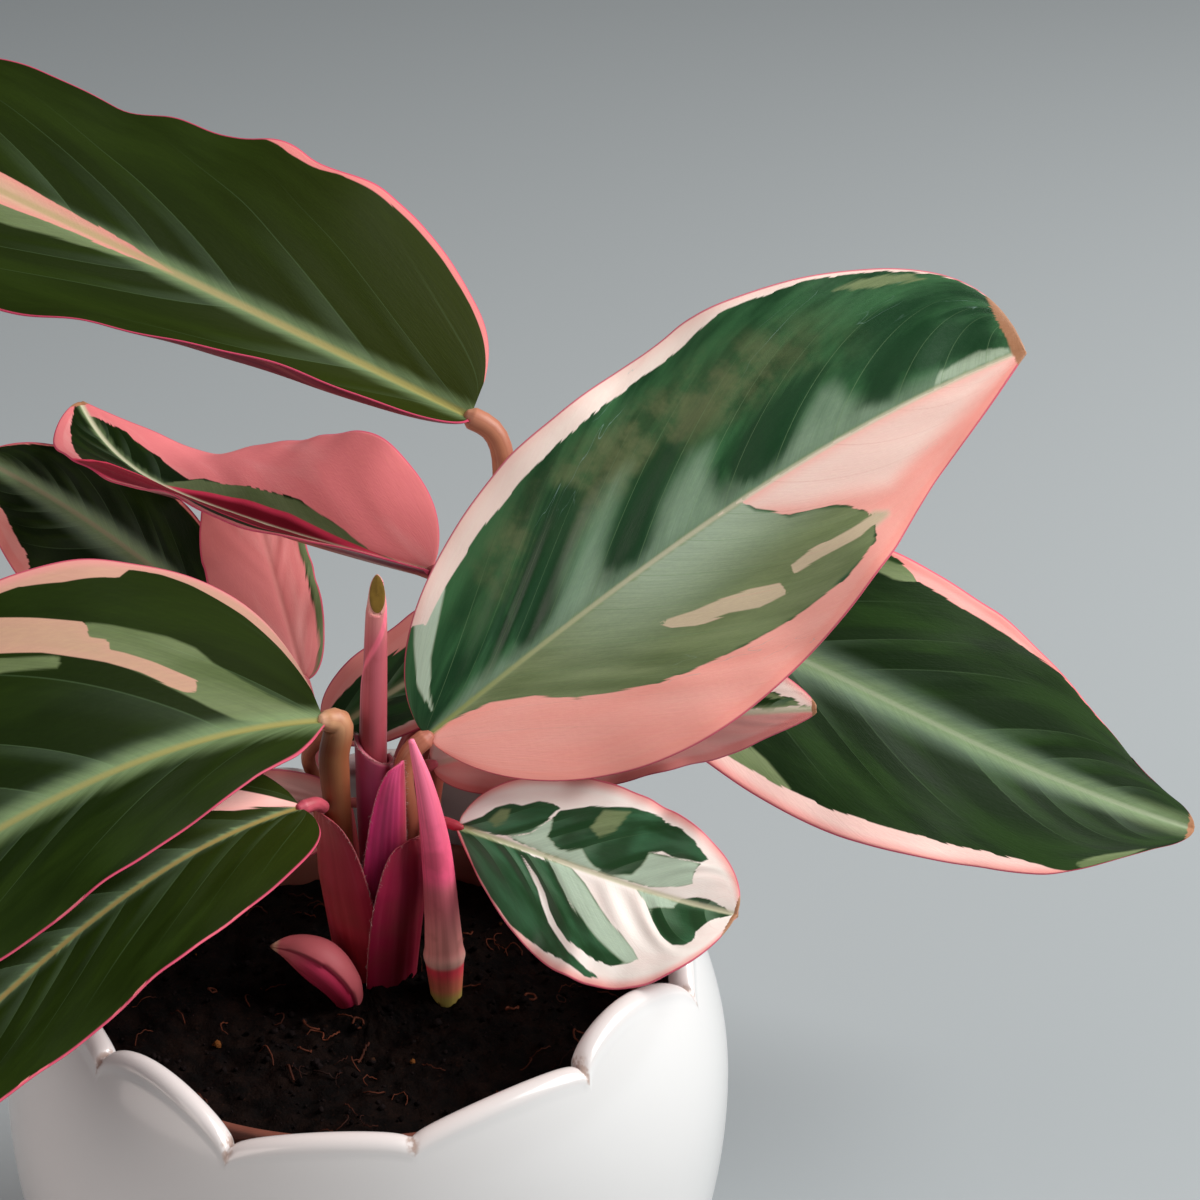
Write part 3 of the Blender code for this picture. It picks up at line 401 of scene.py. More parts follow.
        rib=(0.30, 0.19, 0.05), grid=(140, 60), olive=0.7, jag=0.3, silver=0.1, gloss=0.05,
        rough=(0.5, 0.65), rib_width=0.42, rib_far=(0.24, 0.14, 0.04), rib_strength=0.75,
        reach=(((-1, 0.99), (1, 0.99)), ((-1, 0.985), (1, 0.985))),
        shapes=(
            ("light", 0.55, ((0.0, -0.05), (0.06, -0.14), (0.12, -0.22), (0.2, -0.36), (0.28, -0.6),
                (0.33, -1.1), (0, -1.1))),)),
    "leaf_behind": Pattern(
        blush=(0.95, 0.3), margin_blush=0.95, folds=8, rib=(0.36, 0.31, 0.15),
        reach=(((-1, 0.5), (1, 0.62)), ((-1, 0.72), (1, 0.8)))),
    "leaf_low_back": Pattern(
        ground=("light", "light"), blush=(0.55, 0.6), folds=8, rib=(0.75, 0.5, 0.45), silver=0),
}


def along(values, u):
    """A value that changes smoothly from stalk to tip, through evenly spaced values."""
    v = np.atleast_1d(np.asarray(values, float))
    u = np.asarray(u, float)
    if len(v) == 1:
        return np.full_like(u, v[0])
    padded = np.concatenate([[2 * v[0] - v[1]], v, [2 * v[-1] - v[-2]]])
    place = np.clip(u, 0, 1) * (len(v) - 1)
    k = np.minimum(place.astype(int), len(v) - 2)
    t = place - k
    a, b, c, d = (padded[k + i] for i in range(4))
    bend = (2 * a - 5 * b + 4 * c - d) * t ** 2 + (3 * b - a - 3 * c + d) * t ** 3
    return 0.5 * (2 * b + (c - a) * t + bend)


def step_between(low, high, value):
    """0 below low, 1 above high and a smooth rise between them."""
    t = np.clip((value - low) / (high - low), 0, 1)
    return t * t * (3 - 2 * t)


def smooth_line(places, count, carried=None):
    """Evenly spread points on a smooth line through places, with a value that each place carries."""
    places = np.asarray(places, float)
    steps = np.linalg.norm(np.diff(places, axis=0), axis=1)
    knots = np.concatenate([[0], np.cumsum(steps)])
    if carried is not None:
        places = np.column_stack([places, carried])
    slopes = np.diff(places, axis=0) / steps[:, None]
    tangents = np.concatenate([slopes[:1], slopes])
    for k in range(1, len(places) - 1):
        tangents[k] = (steps[k - 1] * slopes[k] + steps[k] * slopes[k - 1]) / (steps[k - 1] + steps[k])
    spread = np.linspace(0, knots[-1], count)
    k = np.clip(np.searchsorted(knots, spread, side="right") - 1, 0, len(steps) - 1)
    step = steps[k][:, None]
    t = (spread - knots[k])[:, None] / step
    return ((2 * t ** 3 - 3 * t ** 2 + 1) * places[k] + (t ** 3 - 2 * t ** 2 + t) * step * tangents[k]
            + (3 * t ** 2 - 2 * t ** 3) * places[k + 1] + (t ** 3 - t ** 2) * step * tangents[k + 1])


def midrib(leaf):
    """Places, side vectors and normals along a leaf's midrib."""
    u = np.linspace(0, 1, MIDRIB_STEPS + 1)
    heading, pitch, roll = (np.radians(along(v, u)) for v in (leaf.heading, leaf.pitch, leaf.roll))
    forward = np.stack([np.cos(pitch) * np.cos(heading), np.cos(pitch) * np.sin(heading), np.sin(pitch)], 1)
    flat_side = np.stack([-np.sin(heading), np.cos(heading), 0 * heading], 1)
    flat_normal = np.cross(forward, flat_side)
    side = np.cos(roll)[:, None] * flat_side + np.sin(roll)[:, None] * flat_normal
    normal = np.cos(roll)[:, None] * flat_normal - np.sin(roll)[:, None] * flat_side
    steps = leaf.length / MIDRIB_STEPS * 0.5 * (forward[1:] + forward[:-1])
    places = leaf.base + np.concatenate([np.zeros((1, 3)), np.cumsum(steps, 0)])
    return u, places, side, normal


def half_width(form, u):
    """Half the blade's width at u, from its widest and the powers at stalk and tip."""
    widest, stalk_power, tip_power = form
    top = stalk_power / (stalk_power + tip_power)
    peak = top ** stalk_power * (1 - top) ** tip_power
    return BLADE_END + widest * u ** stalk_power * (1 - u) ** tip_power / peak


def blade_surface(leaf, u, v):
    """Places on the blade's middle surface, u from stalk to tip and v from -1 (right) to 1 (left margin)."""
    line_u, line_places, line_side, line_normal = midrib(leaf)
    places, side, normal = (
        np.stack([np.interp(u, line_u, line[:, k]) for k in range(3)], -1)
        for line in (line_places, line_side, line_normal))
    left = v >= 0
    width = either_half(left, [half_width(form, u) for form in (leaf.left, leaf.right)])
    fold, curl = (np.radians(either_half(left, [along(turns, u) for turns in pair]))
                  for pair in ((leaf.fold_left, leaf.fold_right), (leaf.curl_left, leaf.curl_right)))
    curl = np.where(np.abs(curl) < 1e-4, 1e-4, curl)
    across = np.abs(v)
    out = width * (np.sin(fold + curl * across) - np.sin(fold)) / curl
    up = -width * (np.cos(fold + curl * across) - np.cos(fold)) / curl
    height, count, left_phase, right_phase = leaf.wave
    phase = np.where(left, left_phase, right_phase)
    swell = np.sin(np.pi * u) ** 0.7
    up = up + height * across ** 2.2 * swell * np.sin(2 * np.pi * (count * u + phase))
    return places + side * (np.sign(v) * out)[..., None] + normal * up[..., None]


def grid_normals(grid):
    """Unit normals of a grid of places, from its rows and columns."""
    normals = np.cross(np.gradient(grid, axis=0), np.gradient(grid, axis=1))
    return normals / np.linalg.norm(normals, axis=2, keepdims=True)


def mesh_object(name, vertices, faces, materials, face_slots=None):
    """A smooth mesh object from places and faces."""
    mesh = bpy.data.meshes.new(name)
    mesh.from_pydata(np.asarray(vertices, float).tolist(), [], faces)
    for surface in materials:
        mesh.materials.append(surface)
    if face_slots is not None:
        mesh.polygons.foreach_set("material_index", np.asarray(face_slots, np.int32))
    mesh.shade_smooth()
    mesh.update()
    new = bpy.data.objects.new(name, mesh)
    bpy.context.scene.collection.objects.link(new)
    return new


def give(target, name, values):
    """Stores a value for each vertex, for the materials to read."""
    attribute = target.data.attributes.new(name, "FLOAT", "POINT")
    attribute.data.foreach_set("value", np.asarray(values, np.float32).ravel())


def place_on_frame(piece, node):
    """Lets a fine piece stand for its solid."""
    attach(piece, "root")
    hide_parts(node)
    return piece


def grid_faces(rows, columns, start=0, flip=False):
    """Faces of a grid of vertices, by row."""
    faces = []
    for i in range(rows - 1):
        for j in range(columns - 1):
            a = start + i * columns + j
            b, c, d = a + columns, a + columns + 1, a + 1
            faces.append((a, d, c, b) if flip else (a, b, c, d))
    return faces


def ring_faces(rings, sides, flip=False):
    """Faces between closed rings of vertices, one after another."""
    faces = []
    for i in range(rings - 1):
        for j in range(sides):
            a, b = i * sides + j, i * sides + (j + 1) % sides
            faces.append((a, a + sides, b + sides, b) if flip else (a, b, b + sides, a + sides))
    return faces


def sheet_faces(rows, columns):
    """Faces of a thin closed sheet: two grids, one after the other, and the border between them."""
    count = rows * columns
    index = np.arange(count).reshape(rows, columns)
    border = [int(k) for k in (*index[0, :-1], *index[:-1, -1], *index[-1, :0:-1], *index[:0:-1, 0])]
    return (grid_faces(rows, columns) + grid_faces(rows, columns, count, True)
            + [(a, b, b + count, a + count) for a, b in zip(border, border[1:] + border[:1])])


def either_half(left, values):
    """The first value on the left half and the second on the right."""
    return np.where(left, values[0], values[1])


def depth_inside(outline, x, y):
    """How far places lie inside an outline, negative outside it."""
    nearest = np.full(x.shape, 1e9)
    inside = np.zeros(x.shape, bool)
    for (x1, y1), (x2, y2) in zip(outline, np.roll(outline, -1, axis=0)):
        squared = max((x2 - x1) ** 2 + (y2 - y1) ** 2, 1e-9)
        share = np.clip(((x - x1) * (x2 - x1) + (y - y1) * (y2 - y1)) / squared, 0, 1)
        nearest = np.minimum(nearest, np.hypot(x - x1 - share * (x2 - x1), y - y1 - share * (y2 - y1)))
        crosses = (y1 > y) != (y2 > y)
        rise = y2 - y1 if y2 != y1 else 1e-9
        inside ^= crosses & (x < x1 + (y - y1) / rise * (x2 - x1))
    return np.where(inside, nearest, -nearest)


def vein_place(u, share, lean):
    """Where the side vein through a place leaves the midrib, below 0 for those that crowd at the stalk."""
    place = u
    for _ in range(8):
        place = u - lean * (1 - np.clip(place, 0, 1) ** FOLD_STRAIGHTENING) * share ** FOLD_POWER
    return np.where(place < 0, place / (1 - BASE_CROWDING * place), place)


def trimmed(pairs, u):
    """How much of its half width a margin reaches, smoothly along the blade."""
    if not pairs:
        return np.ones_like(u)
    knots, reached = zip(*pairs)
    offsets = np.linspace(-TRIM_SOFTNESS, TRIM_SOFTNESS, 9)
    return np.mean([np.interp(u + offset, knots, reached) for offset in offsets], axis=0)


# The tones that each painted tone raises, and those that it covers
RAISED = {"dark": (), "mid": ("mid",), "pale": ("mid", "pale"), "deep": ("deep",), "silver": ("silver",),
          "crimson": ("crimson",), "light": ("light",), "beige": ("light", "beige")}
LOWERED = {"dark": ("light", "mid", "pale"), "mid": ("light", "pale"), "pale": ("light",)}


def paint(leaf, pattern, u, v):
    """The share across, the half width, each tone as millimetres inside its edge, and the blush."""
    left = v >= 0
    share = np.abs(v)
    width = either_half(left, [half_width(form, u) for form in (leaf.left, leaf.right)]) / MM
    lean = either_half(left, pattern.sweep) * share ** VEIN_POWER
    vein = (u - lean) / (1 - lean)
    between = (1 - lean) * leaf.length / MM * 0.55
    tones = {name: np.full_like(u, OUTSIDE) for name in ("mid", "pale", "deep", "silver", "beige", "crimson")}
    tones["light"] = either_half(left, [-OUTSIDE if tone == "light" else OUTSIDE for tone in pattern.ground])
    blush = either_half(left, pattern.blush).astype(float)
    painted = []
    for half, tone, first, last, inner, outer, pink in pattern.streaks:
        ends = np.minimum((share - inner) * width, (outer - share) * width)
        sides = np.minimum((vein - first) * between, (last - vein) * between)
        inside = np.minimum(sides, ends * 0.45)
        painted.append((tone, pink, np.where(left == (half == "L"), inside, OUTSIDE)))
    flat_x, flat_y = u * leaf.length / MM, v * width
    for tone, pink, outline in pattern.shapes:
        outline_u, outline_v = np.array(outline, float).T
        halves = [half_width(form, outline_u) / MM for form in (leaf.left, leaf.right)]
        outline_y = outline_v * either_half(outline_v >= 0, halves)
        outline = np.stack([outline_u * leaf.length / MM, outline_y], 1)
        painted.append((tone, pink, depth_inside(outline, flat_x, flat_y)))
    for tone, pink, inside in painted:
        if tone in ("light", "beige"):
            blush = blush + (pink - blush) * step_between(-1.5, 2.5, inside)
        for name in RAISED[tone]:
            tones[name] = np.maximum(tones[name], inside)
        for name in LOWERED.get(tone, ()):
            tones[name] = np.minimum(tones[name], -inside)
    place = vein if pattern.edge_by == "vein" else u
    for half, pairs, own in zip((left, ~left), pattern.reach, pattern.blush):
        if pairs:
            knots, shares = zip(*pairs)
            band = (share - np.interp(place, knots, shares)) * width
            tones["light"] = np.where(half, np.maximum(tones["light"], band), tones["light"])
            blush = np.where(half, blush + (own - blush) * step_between(-0.5, 0.5, band), blush)
    return share, width, {name: np.clip(tone, -6, 6) for name, tone in tones.items()}, blush


def add_leaf(leaf):
    """A blade with a glossy top, a crimson underside, a raised midrib below and puckers between its veins."""
    pattern = PATTERNS[leaf.name]
    rows, columns = pattern.grid
    row_places = 0.5 - 0.5 * np.cos(np.linspace(0, np.pi, rows))
    row_places = ROW_CROWDING * row_places + (1 - ROW_CROWDING) * np.linspace(0, 1, rows)
    cross = np.linspace(-1, 1, columns + 1)
    cross = np.sign(cross) * (1 - (1 - np.abs(cross)) ** MARGIN_CROWDING)
    u, v = np.meshgrid(row_places, cross, indexing="ij")
    share, width, tones, blush = paint(leaf, pattern, u, v)
    reached = either_half(v >= 0, [trimmed(pairs, u) for pairs in pattern.trim])
    middle = blade_surface(leaf, u, v * (1 + (reached - 1) * np.abs(v) ** 2))
    normals = grid_normals(middle)
    normals[0] = normals[1]
    normals[-1] = normals[-2]
    seed = sum(ord(letter) for letter in leaf.name)
    vein = vein_place(u, share, pattern.fold_sweep)
    if pattern.vein_places:
        cell, fold = (np.interp(vein, places, np.arange(len(places)))
                      for places in (pattern.vein_places, pattern.fold_places))
    else:
        cell = pattern.folds * vein + 0.20 * np.sin(vein * 15 + seed) + 0.06 * np.sin(vein * 37 + share * 3)
        fold = cell
    turn = fold % 1
    crest = np.where(turn < CREST_SKEW, np.cos(np.pi * turn / CREST_SKEW),
                     -np.cos(np.pi * (turn - CREST_SKEW) / (1 - CREST_SKEW)))
    uneven = 0.65 + 0.35 * np.sin(np.floor(fold) * 2.3 + seed)
    height = either_half(v >= 0, pattern.pucker) * (0.6 + 0.4 * uneven)
    near_rib = step_between(0.0, 0.14, share) * step_between(0.78, 0.30, share)
    pucker = 0.5 * crest * near_rib * step_between(0.02, 0.22, u) * step_between(1, 0.84, u)
    ripple = np.sin(2 * np.pi * RIPPLES * u + seed) + 0.6 * np.sin(2 * np.pi * FINE_RIPPLES * u + 2 * seed)
    ripple = pattern.ripple * ripple * share ** 4 * np.sin(np.pi * u)
    buckle = BUCKLE * np.sin(cell * 4.1 + 5 * share + seed) * np.sin(np.pi * share) * np.sin(np.pi * u)
    from_rib = share * width
    groove = -GROOVE_DEPTH * np.exp(-(from_rib / GROOVE_WIDTH) ** 2) * (1 - 0.6 * u)
    lift = (pucker * height + ripple + buckle + groove) * MM
    thickness = BLADE_EDGE + (BLADE - BLADE_EDGE) * np.sqrt(np.clip(1 - share ** 8, 0, 1))
    ridge = RIDGE_HEIGHT * np.exp(-(from_rib / RIDGE_WIDTH) ** 2) * (1 - 0.75 * u) * MM
    top = middle + normals * (lift + thickness / 2)[..., None]
    bottom = middle + normals * (lift - thickness / 2 - ridge)[..., None]
    faces = sheet_faces(rows, columns + 1)
    side = (rows - 1) * columns
    slots = [0] * side + [1] * side + [0] * (len(faces) - 2 * side)
    surfaces = [leaf_top(leaf, pattern, seed), leaf_underside(leaf, seed)]
    places = np.concatenate([top.reshape(-1, 3), bottom.reshape(-1, 3)])
    blade = mesh_object(leaf.name + "_blade", places, faces, surfaces, slots)
    looks = {"length_share": u, "cell": cell, "fold": fold, "share": share, "blush": blush, "rib": from_rib,
             "edge": (1 - share) * width, **tones}
    for name, values in looks.items():
        give(blade, name, np.tile(values.ravel(), 2))
    place_on_frame(blade, leaf.name)


# Materials

class Shader:
    """One material's nodes. Each call adds a node and gives back its output."""

    def __init__(self, name):
        self.material = bpy.data.materials.new(name)
        self.material.use_nodes = True
        self.tree = self.material.node_tree
        self.surface = self.tree.nodes["Principled BSDF"]

    def put(self, socket, value):
        if isinstance(value, bpy.types.NodeSocket):
            self.tree.links.new(value, socket)
        elif isinstance(value, tuple) and socket.type == "RGBA":
            socket.default_value = (*value, 1)
        else:
            socket.default_value = value

    def add(self, kind, output, values, **settings):
        node = self.tree.nodes.new("ShaderNode" + kind)
        for key, value in settings.items():
            setattr(node, key, value)
        for key, value in values.items():
            self.put(node.inputs[key], value)
        return node.outputs[output]

    def read(self, name):
        return self.add("Attribute", "Fac", {}, attribute_name=name)

    def math(self, operation, a, b=0.0, c=0.0):
        return self.add("Math", 0, {0: a, 1: b, 2: c}, operation=operation)

    def times(self, a, b, *more):
        product = self.math("MULTIPLY", a, b)
        return self.times(product, *more) if more else product

    def times_plus(self, a, b, c):
        return self.math("MULTIPLY_ADD", a, b, c)

    def centred(self, value):
        return self.math("SUBTRACT", value, 0.5)

    def rise(self, value, low, high, start=0.0, end=1.0):
        return self.add("MapRange", 0, {"Value": value, "From Min": low, "From Max": high, "To Min": start,
                                        "To Max": end}, interpolation_type="SMOOTHSTEP")

    def mix(self, share, a, b, blend="MIX"):
        return self.add("Mix", 2, {0: share, 6: a, 7: b}, data_type="RGBA", blend_type=blend)

    def lay(self, colour, other, value, low, high, start=0.0, end=1.0):
        """A colour with another one over it, from a share of start to one of end as a value rises."""
        return self.mix(self.rise(value, low, high, start, end), colour, other)

    def scatter(self, value):
        """A random share for each whole number."""
        return self.add("TexWhiteNoise", "Value", {"W": self.math("FLOOR", value)}, noise_dimensions="1D")

    def vector(self, x, y, z=0.0):
        return self.add("CombineXYZ", 0, {0: x, 1: y, 2: z})

    def noise(self, vector, scale=1.0, detail=2.0, rough=0.5):
        return self.add("TexNoise", "Fac", {"Vector": vector, "Scale": scale, "Detail": detail,
                                            "Roughness": rough})

    def place(self):
        return self.add("TexCoord", "Object", {})

    def bump(self, height, distance, strength=1.0):
        return self.add("Bump", 0, {"Height": height, "Distance": distance, "Strength": strength})

    def ramp(self, value, stops):
        """Colours that change smoothly along a value."""
        node = self.tree.nodes.new("ShaderNodeValToRGB")
        node.color_ramp.interpolation = "EASE"
        while len(node.color_ramp.elements) < len(stops):
            node.color_ramp.elements.new(0.5)
        for element, (place, colour) in zip(node.color_ramp.elements, stops):
            element.position = place
            element.color = (*colour, 1)
        self.put(node.inputs[0], value)
        return node.outputs[0]

    def finish(self, **values):
        for key, value in values.items():
            self.put(self.surface.inputs[key.replace("_", " ")], value)
        return self.material


def leaf_top(leaf, pattern, seed):
    """Green, cream and pink along the side veins, with a pale midrib and a crimson margin, painted sheen on
    the lit flanks of the crests and along the midrib, painted shade on their shaded flanks and, on leaf_main,
    a painted olive reflection.
    """
    top = Shader(leaf.name + "_top")
    read, rise, mix, lay, times, times_plus = top.read, top.rise, top.mix, top.lay, top.times, top.times_plus
    cell, share, from_rib, edge, length_share = (
        read(name) for name in ("cell", "share", "rib", "edge", "length_share"))

    def streaky(along_veins, across_veins, offset, detail=2.0, rough=0.5):
        grain = top.vector(times(cell, across_veins), times(share, along_veins), seed + offset)
        return top.noise(grain, detail=detail, rough=rough)

    # how far the edges of the tones stray
    wander = top.centred(streaky(2.2, 1.1, 0.0))
    fingers = top.centred(streaky(2.0, 5.0, 11.0))
    jag = times_plus(wander, 2.6 * pattern.jag, times(fingers, 0.8 * pattern.jag))
    strip = times_plus(cell, VEIN_STRIPS, times(wander, 1.5))
    jag = times_plus(top.centred(top.scatter(strip)), 1.1 * pattern.jag, jag)
    light = rise(top.math("ADD", jag, read("light")), -0.14, 0.14)
    mid = rise(times_plus(jag, 1.2, read("mid")), -0.35, 0.35)
    pale_green = rise(times_plus(jag, 1.2, read("pale")), -0.3, 0.3)
    # the greens
    cloud = streaky(2.4, 0.8, 3.0, 3.0)
    turn = top.math("FRACT", read("fold"))
    deep_green, dark_green = pattern.greens
    green = lay(deep_green, dark_green, cloud, 0.35, 0.65)
    tones = {tone for tone, _, _ in pattern.shapes}
    # deep green painted on the shaded flank of each crest near the midrib: painted shade
    if "silver" not in tones:
        lens = times(times(rise(turn, 0.40, 0.66), rise(turn, 1.0, 0.985)),
                     times(rise(share, 0.68, 0.42), rise(share, 0.02, 0.1)), 0.9)
        green = mix(lens, green, deep_green)
    if pattern.olive:
        green = lay(green, OLIVE, length_share, 0.0, 0.45, 0.95 * pattern.olive, 0.3 * pattern.olive)
    # olive patches across the outer middle of the blade: painted reflection
    if pattern.olive_reflection:
        patchy = top.noise(top.place(), scale=150.0, detail=4.0, rough=0.6)
        olive_reflection = times(rise(share, 0.3, 0.52), rise(share, 0.86, 0.66), rise(length_share, 0.1, 0.3),
                     rise(length_share, 0.85, 0.6), rise(patchy, 0.36, 0.62, 0.15, pattern.olive_reflection))
        green = mix(olive_reflection, green, REFLECTED_OLIVE)
    # pale silver-green on the lit flank of each crest near the midrib: painted sheen
    if pattern.silver:
        mottle = streaky(1.6, 1.4, 29.0, 3.0, 0.6)
        if "silver" in tones:
            sheen = times(rise(times_plus(jag, 1.4, read("silver")), -1.8, 2.6),
                          rise(share, 0.6, 0.1, 0.45, 1.0),
                          rise(mottle, 0.3, 0.6, 0.6 * pattern.silver, pattern.silver))
        else:
            sheen = times(rise(turn, 0.46, 0.02), rise(share, 0.52, 0.12),
                          rise(mottle, 0.35, 0.6, 0.5 * pattern.silver, pattern.silver))
        green = mix(sheen, green, SHEEN_GREEN)
    # silver-green close to the midrib and the pale tone across the mid band beside it: painted sheen
    soft = times(rise(share, pattern.rib_sheen_width, 0.0), rise(length_share, 0.15, 0.45), pattern.rib_sheen)
    close = times(rise(share, pattern.rib_sheen_width * 0.36, 0.0), 0.9 * pattern.rib_sheen)
    # darker mid tones on leaves with the SHADED greens: painted shade
    mid_green, mid_deep, pale_tone = SHADED_MIDS if pattern.greens is SHADED else MIDS
    mottled = lay(mid_green, mid_deep, cloud, 0.3, 0.7)
    green = mix(mid, mix(close, green, SHEEN_GREEN), mix(soft, mottled, pale_tone))
    green = mix(pale_green, green, pale_tone)
    green = lay(green, BESIDE_RIB, times_plus(fingers, -1.6, from_rib), 0.1, pattern.feather, 0.7, 0.0)
    # deep patches over the greens; on leaf_main they are painted shade on the shaded flanks of the crests
    if "deep" in tones:
        green = lay(green, deep_green, times_plus(jag, 2.0, read("deep")), -1.1, 1.3, 0.0, 0.9)
    green = lay(green, deep_green, streaky(5.0, 26.0, 41.0), 0.35, 0.7, 0.0, 0.1)
    # cream and pink
    pinkness = times_plus(rise(edge, 0.0, 2.4, 1.0, 0.0), pattern.margin_blush, read("blush"))
    pinkness = times_plus(top.centred(cloud), 0.4, pinkness)
    pinkness = top.add("Clamp", 0, {"Value": pinkness})
    light_colour = mix(pinkness, pattern.cream, pattern.pink)
    if "beige" in tones:
        light_colour = lay(light_colour, BEIGE, read("beige"), -1.0, 0.2)
    colour = mix(light, green, light_colour)
    # side veins, midrib, margin and tip
    vein_line = rise(top.math("PINGPONG", cell, 0.5), VEIN_LINE * 0.3, VEIN_LINE, pattern.vein_strength, 0.0)
    vein_line = times(vein_line, rise(share, 0.85, 0.4))
    colour = mix(vein_line, colour, mix(light, GREEN_VEIN, PINK_VEIN))
    lines = streaky(6.0, 34.0, 7.0)
    colour = mix(rise(lines, 0.3, 0.7, 0.0, 0.12), colour, (0.30, 0.38, 0.26), "SOFT_LIGHT")
    weave = streaky(55.0, 9.0, 5.0)
    colour = mix(rise(weave, 0.4, 0.7, 0.0, 0.14), colour, (0.75, 0.8, 0.6), "SOFT_LIGHT")
    if "crimson" in tones:
        rolled_colour = lay(ROLLED_EDGE, ROLLED_MIDDLE, read("crimson"), 0.4, 1.6)
        colour = lay(colour, rolled_colour, read("crimson"), -0.15, 0.15)
    rib_colour = lay(pattern.rib, pattern.rib_far, length_share, 0.0, 0.45)
    half_rib = pattern.rib_width
    colour = lay(colour, rib_colour, from_rib, half_rib * 0.3, half_rib * 1.5, pattern.rib_strength, 0.0)
    colour = lay(colour, CRIMSON, edge, 0.14, 0.42, 0.85, 0.0)
    if pattern.scuffs:
        scuff = top.noise(top.vector(cell, times(share, 3.0), seed + 17.0), scale=1.3)
        scuff = rise(top.math("ABSOLUTE", top.centred(scuff)), 0.0, 0.008, pattern.scuffs, 0.0)
        scuffed = times(rise(streaky(2.0, 0.7, 31.0), 0.5, 0.6), rise(share, 0.45, 0.7))
        colour = mix(times(scuff, scuffed), colour, SCUFF)
    dry = mix(streaky(3.0, 20.0, 37.0, 3.0), DRY_BROWN, (0.44, 0.22, 0.12))
    tip = pattern.tip_brown
    colour = lay(colour, dry, times_plus(fingers, 0.012, length_share), 1 - tip * 1.1, 1 - tip * 0.9)
    skin = top.noise(top.place(), scale=900.0, detail=3.0)
    height = times_plus(weave, 0.35, times_plus(lines, 0.35, times(skin, 0.4)))
    return top.finish(Base_Color=colour, Roughness=rise(cloud, 0.3, 0.7, *pattern.rough),
                      Specular_IOR_Level=pattern.gloss, Normal=top.bump(height, 0.00009, 0.7))


def leaf_underside(leaf, seed):
    """Crimson where the top is green, and pink where it is pale."""
    under = Shader(leaf.name + "_under")
    cell, share, from_rib, edge = (under.read(name) for name in ("cell", "share", "rib", "edge"))
    grain = under.vector(under.times(cell, 9.0), under.times(share, 3.0), seed + 1.0)
    lines = under.noise(grain, detail=3.0)
    dark = under.lay((0.15, 0.010, 0.022), (0.25, 0.022, 0.042), lines, 0.3, 0.7)
    pale = under.lay((0.66, 0.17, 0.19), (0.72, 0.26, 0.26), lines, 0.3, 0.7)
    colour = under.lay(dark, pale, under.read("light"), -0.4, 0.4)
    colour = under.lay(colour, (0.42, 0.09, 0.09), under.math("PINGPONG", cell, 0.5), 0.015, 0.05, 0.5, 0.0)
    colour = under.lay(colour, (0.50, 0.17, 0.12), from_rib, 0.4, 1.0, 0.8, 0.0)
    colour = under.lay(colour, CRIMSON, edge, 0.10, 0.40, 0.9, 0.0)
    return under.finish(Base_Color=colour, Roughness=0.5, Specular_IOR_Level=0.4,
                        Normal=under.bump(lines, 0.00010, 0.7))


def stem_material(name, stops, streak=(0.24, 0.03, 0.025), roughness=0.42, streaks=0.3, seam_colour=None,
                  over_colour=None):
    """A stem's skin: colours from foot to top, with fine streaks and the edge of its outer layer."""
    skin = Shader(name)
    length_share = skin.read("length_share")
    grain = skin.vector(skin.times(skin.read("around"), 9.0), skin.times(length_share, 2.0))
    fine = skin.noise(grain, detail=3.0)
    colour = skin.lay(skin.ramp(length_share, stops), streak, fine, 0.40, 0.7, 0.0, streaks)
    blotch = skin.noise(skin.place(), scale=180.0, detail=3.0)
    colour = skin.lay(colour, streak, blotch, 0.52, 0.72, 0.0, 0.3)
    if over_colour:
        lapping = skin.rise(skin.read("over"), 0.65, 0.4, 0.0, 0.85)
        colour = skin.mix(skin.times(lapping, skin.rise(length_share, 0.95, 0.82)), colour, over_colour)
    if seam_colour:
        colour = skin.lay(colour, seam_colour, skin.read("seam"), 0.1, 0.5, 0.75, 0.0)
    return skin.finish(Base_Color=colour, Roughness=roughness, Specular_IOR_Level=0.3,
                       Normal=skin.bump(fine, 0.00010, 0.5))


# Stems

ORANGE = (0.46, 0.17, 0.09)
SALMON = (0.60, 0.27, 0.17)
BROWN = (0.17, 0.05, 0.025)
ROSE = (0.56, 0.09, 0.13)
DEEP_RED = (0.20, 0.012, 0.022)

